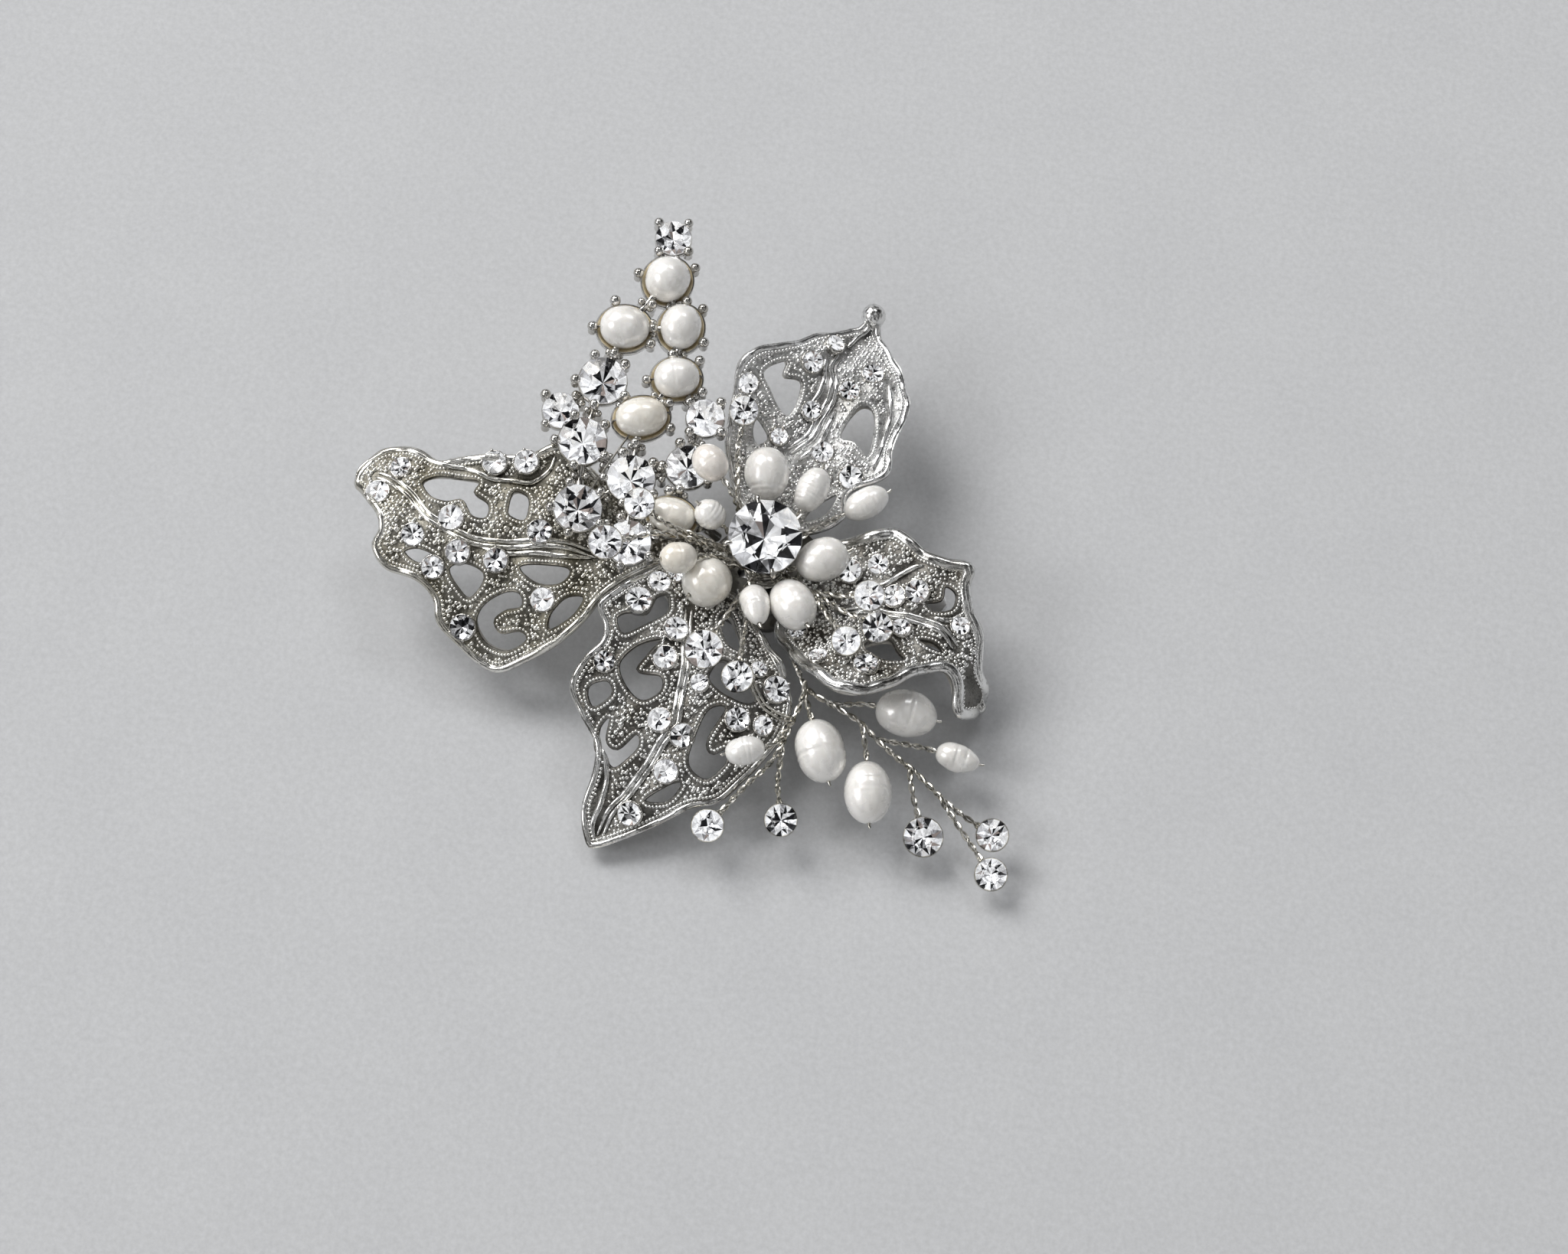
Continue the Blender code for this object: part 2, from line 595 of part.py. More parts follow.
def pearl(centre, axis, length, width):
    """A drilled oval pearl: an ellipsoid with a bore along its length."""
    start = math.asin(BORE / (width / 2))
    bands = 6
    profile = []
    for k in range(bands + 1):
        angle = start + (math.pi - 2 * start) * k / bands
        profile.append((width / 2 * math.sin(angle), length / 2 * math.cos(angle)))
    return turned(profile, 8, facing(axis, centre), ring=True)


def claw(matrix, angle, reach, ball, foot):
    """A round-headed claw that stands up beside a stone."""
    profile = ((0, foot), (0.6 * ball, foot), (ball, CLAW_HEIGHT), (0, CLAW_HEIGHT + ball))
    place = matrix @ Matrix.Translation(
        (reach * math.cos(angle), reach * math.sin(angle), 0)
    )
    return turned(profile, 5, place)


def collet(matrix, half_x, half_y, bottom=COLLET_BOTTOM, sides=10):
    """The ring under a stone or round a pearl, with its own half sizes in X and Y."""
    mean = (half_x + half_y) / 2
    stretch = Matrix.Diagonal((half_x / mean, half_y / mean, 1, 1))
    profile = (
        (mean - 0.1, COLLET_TOP), (mean - 0.1, bottom), (mean + COLLET_WALL, bottom),
        (mean + COLLET_WALL, COLLET_TOP),
    )
    return turned(profile, sides, matrix @ stretch, ring=True)


# ---------------------------------------------------------------- clip


def strip_outline():
    """The plan of both jaws: a narrow round tip, a parallel middle and a round lever end."""
    half, tip = JAW_WIDTH / 2, TIP_WIDTH / 2
    points = []
    for k in range(5):
        angle = math.pi / 2 + math.pi * k / 4
        points.append((JAW_TIP_X + tip + tip * math.cos(angle), tip * math.sin(angle)))
    points.extend(((-8.0, -half), (0.0, -half), (HINGE_X, -half)))
    for k in range(5):
        angle = -math.pi / 2 + math.pi * k / 4
        points.append((LEVER_END_X - half + half * math.cos(angle), half * math.sin(angle)))
    points.extend(((HINGE_X, half), (0.0, half), (-8.0, half)))
    return [Vector(point) for point in points]


def box_between(low, high):
    bm = bmesh.new()
    bmesh.ops.create_cube(bm, size=1.0)
    size = Vector(high) - Vector(low)
    bmesh.ops.scale(bm, verts=bm.verts, vec=size)
    bmesh.ops.translate(bm, verts=bm.verts, vec=(Vector(high) + Vector(low)) / 2)
    return bm


def ear(y, low, high):
    """A drilled ear at y, between two heights, with the pin's hole in it."""
    half = EAR_LENGTH / 2
    outline = [
        Vector((HINGE_X - half, low)), Vector((HINGE_X + half, low)),
        Vector((HINGE_X + half, high)), Vector((HINGE_X - half, high)),
    ]
    hole = []
    for k in range(8):
        angle = math.tau * (k + 0.5) / 8
        hole.append(
            Vector((HINGE_X + PIN_HOLE * math.cos(angle), HINGE_Z + PIN_HOLE * math.sin(angle)))
        )
    return slab(outline, [hole], lambda x, z: Vector((x, y, z)), EAR, 50.0)


def upper_underside(x):
    return UPPER_UNDERSIDE + UPPER_SLOPE * x


def tooth(x, y, peak):
    """A pointed tooth that stands on the lower jaw's strip."""
    bm = bmesh.new()
    corners = ((x - TOOTH_HALF_LENGTH, TOOTH_FOOT), (x + TOOTH_HALF_LENGTH, TOOTH_FOOT), (x, peak))
    near = [bm.verts.new((at, y - TOOTH_HALF_WIDTH, height)) for at, height in corners]
    far = [bm.verts.new((at, y + TOOTH_HALF_WIDTH, height)) for at, height in corners]
    bm.faces.new(near)
    bm.faces.new(far)
    for i in range(3):
        j = (i + 1) % 3
        bm.faces.new((near[i], near[j], far[j], far[i]))
    return bm


def make_lower_jaw(hinge):
    middle = STRIP / 2
    strip = slab(strip_outline(), [], lambda x, y: Vector((x, y, middle)), STRIP, 50.0)
    bodies = [strip]
    for side in (-1, 1):
        bodies.append(ear(side * LOWER_EAR_Y, LOWER_EAR_FOOT, LOWER_EAR_TOP))
        for k in range(TOOTH_COUNT):
            x = FIRST_TOOTH_X + k * TOOTH_PITCH
            peak = upper_underside(x) - GAP
            bodies.append(tooth(x, side * TOOTH_Y, peak))
    hinge_point = (HINGE_X, 0.0, HINGE_Z)
    jaw = make_object("clip_lower_jaw", united(bodies), "clip_steel", origin=hinge_point)
    jaw.location = (0.0, 0.0, 0.0)
    jaw.parent = hinge
    return jaw


def make_upper_jaw():
    middle = STRIP / 2
    strip = slab(
        strip_outline(), [], lambda x, y: Vector((x, y, upper_underside(x) + middle)), STRIP, 50.0
    )
    bodies = [strip]
    tab_foot = upper_underside(HINGE_X)
    tab_top = tab_foot + STRIP
    for side in (-1, 1):
        bodies.append(ear(side * UPPER_EAR_Y, UPPER_EAR_FOOT, tab_foot + STRIP / 2))
        inner, outer = side * TAB_INNER_Y, side * (UPPER_EAR_Y + EAR / 2)
        low = (HINGE_X - EAR_LENGTH / 2, min(inner, outer), tab_foot)
        high = (HINGE_X + EAR_LENGTH / 2, max(inner, outer), tab_top)
        bodies.append(box_between(low, high))
    return make_object("clip_upper_jaw", united(bodies), "clip_steel")


def make_hinge_pin():
    outside = UPPER_EAR_Y + EAR / 2
    under_head = -outside - PIN_HEAD_GAP
    over_head = under_head - PIN_HEAD
    end = outside + PIN_OVERHANG
    profile = (
        (0, over_head), (PIN_HEAD_RADIUS, over_head), (PIN_HEAD_RADIUS, under_head),
        (PIN_RADIUS, under_head), (PIN_RADIUS, end), (0, end),
    )
    matrix = facing((0, 1, 0), (HINGE_X, 0, HINGE_Z))
    return make_object("clip_hinge_pin", turned(profile, 10, matrix), "clip_steel")


def make_spring():
    """The torsion spring: a coil round the pin, and a leg under the lever and on the tail."""
    half = SPRING_TURNS * SPRING_PITCH / 2
    start = math.radians(SPRING_START)
    coil = []
    for k in range(round((SPRING_TURNS + 1 / 3) * SPRING_STEPS) + 1):
        angle = start + math.tau * k / SPRING_STEPS
        y = -half + SPRING_PITCH * k / SPRING_STEPS
        x = HINGE_X + SPRING_RADIUS * math.cos(angle)
        z = HINGE_Z + SPRING_RADIUS * math.sin(angle)
        coil.append(Vector((x, y, z)))
    lower_end = Vector((HINGE_X + SPRING_LEG, -half - 0.1, STRIP + GAP + SPRING_WIRE))
    upper_x = HINGE_X + SPRING_LEG
    upper_end = Vector((upper_x, half + 0.25, upper_underside(upper_x) - GAP - SPRING_WIRE))
    path = [lower_end, *coil, upper_end]
    return make_object("clip_spring", tube(path, SPRING_WIRE, 5), "spring_steel")


def make_back_plate():
    """The perforated disc on the upper jaw that everything in the flower is wired to."""
    outline = []
    for k in range(24):
        angle = math.tau * k / 24
        outline.append(Vector((PLATE_RADIUS * math.cos(angle), PLATE_RADIUS * math.sin(angle))))
    holes = []
    for circle, count in PLATE_HOLE_CIRCLES:
        for k in range(count):
            turn = math.tau * (k + 0.5) / count
            x, y = circle * math.cos(turn), circle * math.sin(turn)
            hole = []
            for n in range(6):
                angle = math.tau * n / 6
                hole.append(
                    Vector((x + PLATE_HOLE * math.cos(angle), y + PLATE_HOLE * math.sin(angle)))
                )
            holes.append(hole)
    above = STRIP + GAP + PLATE_THICKNESS / 2

    def surface(x, y):
        return Vector((x, y, upper_underside(x) + above))

    plate = slab(outline, holes, surface, PLATE_THICKNESS, 50.0)
    return make_object("back_plate", plate, "clip_steel")


# ---------------------------------------------------------------- leaves


def leaf_surface(leaf):
    """A function from (along, across) to the middle of the leaf's sheet in space."""
    heading = math.radians(leaf["heading"])
    forward = Vector((math.cos(heading), math.sin(heading)))
    left = Vector((-math.sin(heading), math.cos(heading)))
    base = Vector(leaf["base"])

    def surface(along, across):
        side = leaf["left"] if across > 0 else leaf["right"]
        lift = interpolate(side, along) * (abs(across) / LIFT_REACH) ** LIFT_POWER
        z = interpolate(leaf["rib"], along) + lift
        reach = along
        if leaf["curl"] and along > leaf["curl"][0]:
            start, radius = leaf["curl"]
            angle = (along - start) / radius
            reach = start + radius * math.sin(angle)
            z -= radius * (1 - math.cos(angle))
        plan = base + forward * reach + left * across
        return Vector((plan.x, plan.y, z))

    return surface


def make_leaves(flower):
    for name, leaf in LEAVES.items():
        outline = closed_loop(leaf["outline"], 2.4)
        openings = [closed_loop(opening, 1.6) for opening in leaf["openings"]]
        sheet = slab(outline, openings, leaf_surface(leaf), LEAF_THICKNESS, LEAF_GRID)
        make_object(name, sheet, "antique_silver", flower)


# ---------------------------------------------------------------- cluster


def cluster_height(x, y):
    heading = math.radians(CLUSTER_HEADING)
    out = x * math.cos(heading) + y * math.sin(heading)
    return CLUSTER_HEIGHT + CLUSTER_SLOPE * (out - CLUSTER_START)


def cluster_normal():
    heading = math.radians(CLUSTER_HEADING)
    return Vector(
        (-CLUSTER_SLOPE * math.cos(heading), -CLUSTER_SLOPE * math.sin(heading), 1.0)
    ).normalized()


def cluster_settings():
    """Every setting of the cluster: name, centre, half sizes and the heading of its length."""
    settings = {}
    for name, (x, y, diameter, drop) in CLUSTER_CRYSTALS.items():
        centre = Vector((x, y, cluster_height(x, y) - drop))
        settings[name] = (centre, diameter / 2, diameter / 2, 0.0)
    for name, (x, y, length, width, heading) in CLUSTER_PEARLS.items():
        centre = Vector((x, y, cluster_height(x, y)))
        settings[name] = (centre, length / 2 + 0.15, width / 2 + 0.15, heading)
    return settings


def claw_is_clear(tip, own_name, settings):
    """False where a claw's head would stand in a neighbouring stone."""
    for name, (centre, half_x, half_y, _) in settings.items():
        if name != own_name and (tip - centre).length < max(half_x, half_y) + CLAW_BALL + 0.1:
            return False
    return True


def make_cluster(flower):
    settings = cluster_settings()
    normal = cluster_normal()
    bodies = []
    for name, (centre, half_x, half_y, heading) in settings.items():
        place = facing(normal, centre) @ Matrix.Rotation(math.radians(heading), 4, "Z")
        bodies.append(collet(place, half_x, half_y))
        claws = 5 if half_x > 2.7 else 4
        for k in range(claws):
            angle = math.tau * (k + 0.5) / claws
            reach = CLAW_REACH + (half_x * half_y) / math.hypot(
                half_y * math.cos(angle), half_x * math.sin(angle)
            )
            tip = place @ Vector((reach * math.cos(angle), reach * math.sin(angle), CLAW_HEIGHT))
            if claw_is_clear(tip, name, settings):
                bodies.append(claw(place, angle, reach, CLAW_BALL, COLLET_BOTTOM))
    drop = normal * (COLLET_BOTTOM + 0.65)
    for first, second in CLUSTER_LINKS:
        a, a_x, a_y, _ = settings["cluster_" + first]
        b, b_x, b_y, _ = settings["cluster_" + second]
        line = (b - a).normalized()
        start = a + line * (min(a_x, a_y) + 0.15)
        end = b - line * (min(b_x, b_y) + 0.15)
        bodies.append(tube((start + drop, end + drop), LINK_RADIUS, 6))
    bodies.append(tube(smooth_path(TANG, 2), TANG_RADIUS, 6))
    make_object("cluster_frame", united(bodies), "antique_silver", flower)
    for name in CLUSTER_CRYSTALS:
        centre, half, _, _ = settings[name]
        make_object(name, crystal(facing(normal, centre), 2 * half), "crystal", flower, centre)
    for name, (_, _, length, width, heading) in CLUSTER_PEARLS.items():
        centre = settings[name][0] + normal * 0.5
        axis = facing(normal, (0, 0, 0)) @ axis_of(heading, 0.0)
        make_object(name, pearl(centre, axis, length, width), pearl_finish(name), flower, centre)


def pearl_finish(name):
    if name in PEACH_PEARLS:
        return "pearl_peach"
    return "pearl_cream" if name in CREAM_PEARLS else "pearl_white"


# ---------------------------------------------------------------- wired stones and pearls


def stem_to_pearl(start, lead, centre, axis, length):
    """A wire from start, leaving along lead, that runs through a pearl's bore and ends in a stub."""
    inner = centre - axis * (length / 2 + 0.5)
    outer = centre + axis * (length / 2 + STUB)
    span = (inner - start).length
    arc = []
    steps = 5
    for k in range(steps + 1):
        t = k / steps
        arc.append(
            (2 * t**3 - 3 * t**2 + 1) * start + (t**3 - 2 * t**2 + t) * lead * span
            + (3 * t**2 - 2 * t**3) * inner + (t**3 - t**2) * axis * span
        )
    return tube([*arc, outer], [WIRE_RADIUS] * steps + [BORE_WIRE] * 2, 6)


def wired_ring(centre, normal, diameter):
    """The small ring that a wired crystal sits in."""
    half = diameter / 2
    return collet(facing(normal, centre), half, half, SMALL_COLLET_BOTTOM, SMALL_COLLET_SIDES)


def stem_to_setting(points, centre, normal, diameter):
    """A wire through the points to the side of a small setting's ring."""
    toward = Vector(points[-1]) - centre
    toward = (toward - normal * toward.dot(normal)).normalized()
    end = centre + toward * (diameter / 2 + 0.15) - normal * 0.75
    return tube(smooth_path([*points, end], 2), WIRE_RADIUS, 6)


def make_centre(flower):
    normal = Vector(STONE_NORMAL).normalized()
    hub_profile = (
        (0, HUB_BOTTOM), (HUB_RADIUS, HUB_BOTTOM), (HUB_RADIUS, HUB_TOP - 1), (1.6, HUB_TOP),
        (0, HUB_TOP),
    )
    bodies = [turned(hub_profile, 12, Matrix.Identity(4))]
    for x, y, z, length, _, heading, pitch in CENTRE_PEARLS.values():
        centre, axis = Vector((x, y, z)), axis_of(heading, pitch)
        plan = Vector((x, y, 0)).normalized()
        start = plan * (HUB_RADIUS - 0.6) + Vector((0, 0, HUB_TOP - 1.2))
        bodies.append(stem_to_pearl(start, (plan + Vector((0, 0, 0.6))), centre, axis, length))
    for x, y, z, diameter, route in WIRED_CRYSTALS.values():
        centre = Vector((x, y, z))
        plan = Vector((*route[0][:2], 0)).normalized()
        start = plan * (HUB_RADIUS - 0.6) + Vector((0, 0, HUB_TOP - 1.6))
        bodies.append(stem_to_setting([start, *route], centre, normal, diameter))
        bodies.append(wired_ring(centre, normal, diameter))
    make_object("centre_wires", united(bodies), "wire_silver", flower)
    for name, (x, y, z, length, width, heading, pitch) in CENTRE_PEARLS.items():
        body = pearl(Vector((x, y, z)), axis_of(heading, pitch), length, width)
        make_object(name, body, pearl_finish(name), flower, (x, y, z))
    for name, (x, y, z, diameter, _) in WIRED_CRYSTALS.items():
        body = crystal(facing(normal, (x, y, z)), diameter)
        make_object(name, body, "crystal", flower, (x, y, z))


def make_centre_crystal(flower):
    """The large crystal, and the open cup with four claws that holds it above the hub."""
    stone = CENTRE_CRYSTAL
    half = stone["diameter"] / 2
    place = facing(stone["normal"], stone["centre"])
    stem = HUB_TOP + GAP - stone["centre"][2]
    profile = (
        (0, -4.4), (0.75, -4.4), (half - 0.45, -0.7), (half + 0.5, -0.7), (half - 0.5, -1.7),
        (1.2, -4.9), (1.1, stem), (0, stem),
    )
    bodies = [turned(profile, 16, place)]
    for k in range(4):
        bodies.append(claw(place, math.tau * (k + 0.25) / 4, half + 0.55, 0.5, -0.9))
    make_object("centre_cup", united(bodies), "antique_silver", flower)
    body = crystal(place, stone["diameter"])
    make_object("centre_crystal", body, "crystal", flower, stone["centre"])


def make_spray(flower):
    normal = Vector(STONE_NORMAL).normalized()
    bodies = [tube(smooth_path(SPRAY_TRUNK, 2), WIRE_RADIUS, 6)]
    for branch in SPRAY_BRANCHES:
        bodies.append(tube(smooth_path(branch, 2), WIRE_RADIUS, 6))
    for x, y, z, length, _, heading, pitch, start in SPRAY_PEARLS.values():
        centre, axis = Vector((x, y, z)), axis_of(heading, pitch)
        lead = (centre - Vector(start)).normalized()
        bodies.append(stem_to_pearl(Vector(start), lead, centre, axis, length))
    for x, y, z, diameter in SPRAY_CRYSTALS.values():
        bodies.append(wired_ring((x, y, z), normal, diameter))
    make_object("spray_wire", united(bodies), "wire_silver", flower)
    for name, (x, y, z, length, width, heading, pitch, _) in SPRAY_PEARLS.items():
        body = pearl(Vector((x, y, z)), axis_of(heading, pitch), length, width)
        make_object(name, body, pearl_finish(name), flower, (x, y, z))
    for name, (x, y, z, diameter) in SPRAY_CRYSTALS.items():
        body = crystal(facing(normal, (x, y, z)), diameter)
        make_object(name, body, "crystal", flower, (x, y, z))


def main():
    clear_scene()
    hinge = make_empty("jaw_hinge", (HINGE_X, 0.0, HINGE_Z))
    flower = make_empty("flower", (0.0, 0.0, 0.0), FLOWER_TURN)
    make_lower_jaw(hinge)
    make_upper_jaw()
    make_hinge_pin()
    make_spring()
    make_back_plate()
    make_leaves(flower)
    make_cluster(flower)
    make_centre_crystal(flower)
    make_centre(flower)
    make_spray(flower)


main()
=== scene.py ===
import json
import math

import bpy
import numpy as np
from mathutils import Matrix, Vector
from mathutils.geometry import delaunay_2d_cdt


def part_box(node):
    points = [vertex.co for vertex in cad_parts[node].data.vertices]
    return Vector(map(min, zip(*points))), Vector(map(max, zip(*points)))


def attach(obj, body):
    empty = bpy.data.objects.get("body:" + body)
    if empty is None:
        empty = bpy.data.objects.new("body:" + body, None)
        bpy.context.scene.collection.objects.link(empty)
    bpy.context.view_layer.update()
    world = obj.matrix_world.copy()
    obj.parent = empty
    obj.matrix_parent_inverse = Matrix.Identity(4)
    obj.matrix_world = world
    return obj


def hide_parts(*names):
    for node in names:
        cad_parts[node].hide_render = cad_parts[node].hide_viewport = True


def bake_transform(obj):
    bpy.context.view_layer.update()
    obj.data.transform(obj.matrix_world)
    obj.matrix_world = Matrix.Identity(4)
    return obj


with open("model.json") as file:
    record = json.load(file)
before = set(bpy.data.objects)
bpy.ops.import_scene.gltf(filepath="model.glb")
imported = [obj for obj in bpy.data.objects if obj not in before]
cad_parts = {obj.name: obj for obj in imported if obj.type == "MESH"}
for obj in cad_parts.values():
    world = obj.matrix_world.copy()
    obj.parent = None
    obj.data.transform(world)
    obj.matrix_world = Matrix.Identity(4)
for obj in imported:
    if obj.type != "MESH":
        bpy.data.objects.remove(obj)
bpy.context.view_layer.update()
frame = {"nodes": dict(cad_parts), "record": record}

# The looks of the flower hair clip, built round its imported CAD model.
# Lengths are in millimetres until make_piece() scales them. Stones and pearls are placed from
# their CAD nodes. The leaves and the wires repeat the design of the CAD model, in the flower's
# own frame, which is turned FLOWER_TURN about Z from the clip's.

MM = 0.001
FLOWER_TURN = math.radians(12.0)
TURN = np.array(
    (
        (math.cos(FLOWER_TURN), -math.sin(FLOWER_TURN), 0.0),
        (math.sin(FLOWER_TURN), math.cos(FLOWER_TURN), 0.0),
        (0.0, 0.0, 1.0),
    )
)
RANDOM = np.random.default_rng(7)
MATERIALS = {}

# ---------------------------------------------------------------- the CAD design, repeated

# A leaf lifts by its side height times (across / LIFT_REACH) ** LIFT_POWER.
LIFT_REACH = 10.0
LIFT_POWER = 1.6
HUB_RADIUS = 2.6
HUB_TOP = 11.6
# The depth of a stone's back, as a share of its width.
PAVILION_SHARE = 0.38
# The shares of its back facets that get the painted warm reflection and the painted pale
# reflection.
PAINTED_WARM_FACETS, PAINTED_PALE_FACETS = 0.04, 0.22
TWIST_PITCH = 3.2
# A vector times LEVEL has no height.
LEVEL = (1, 1, 0)

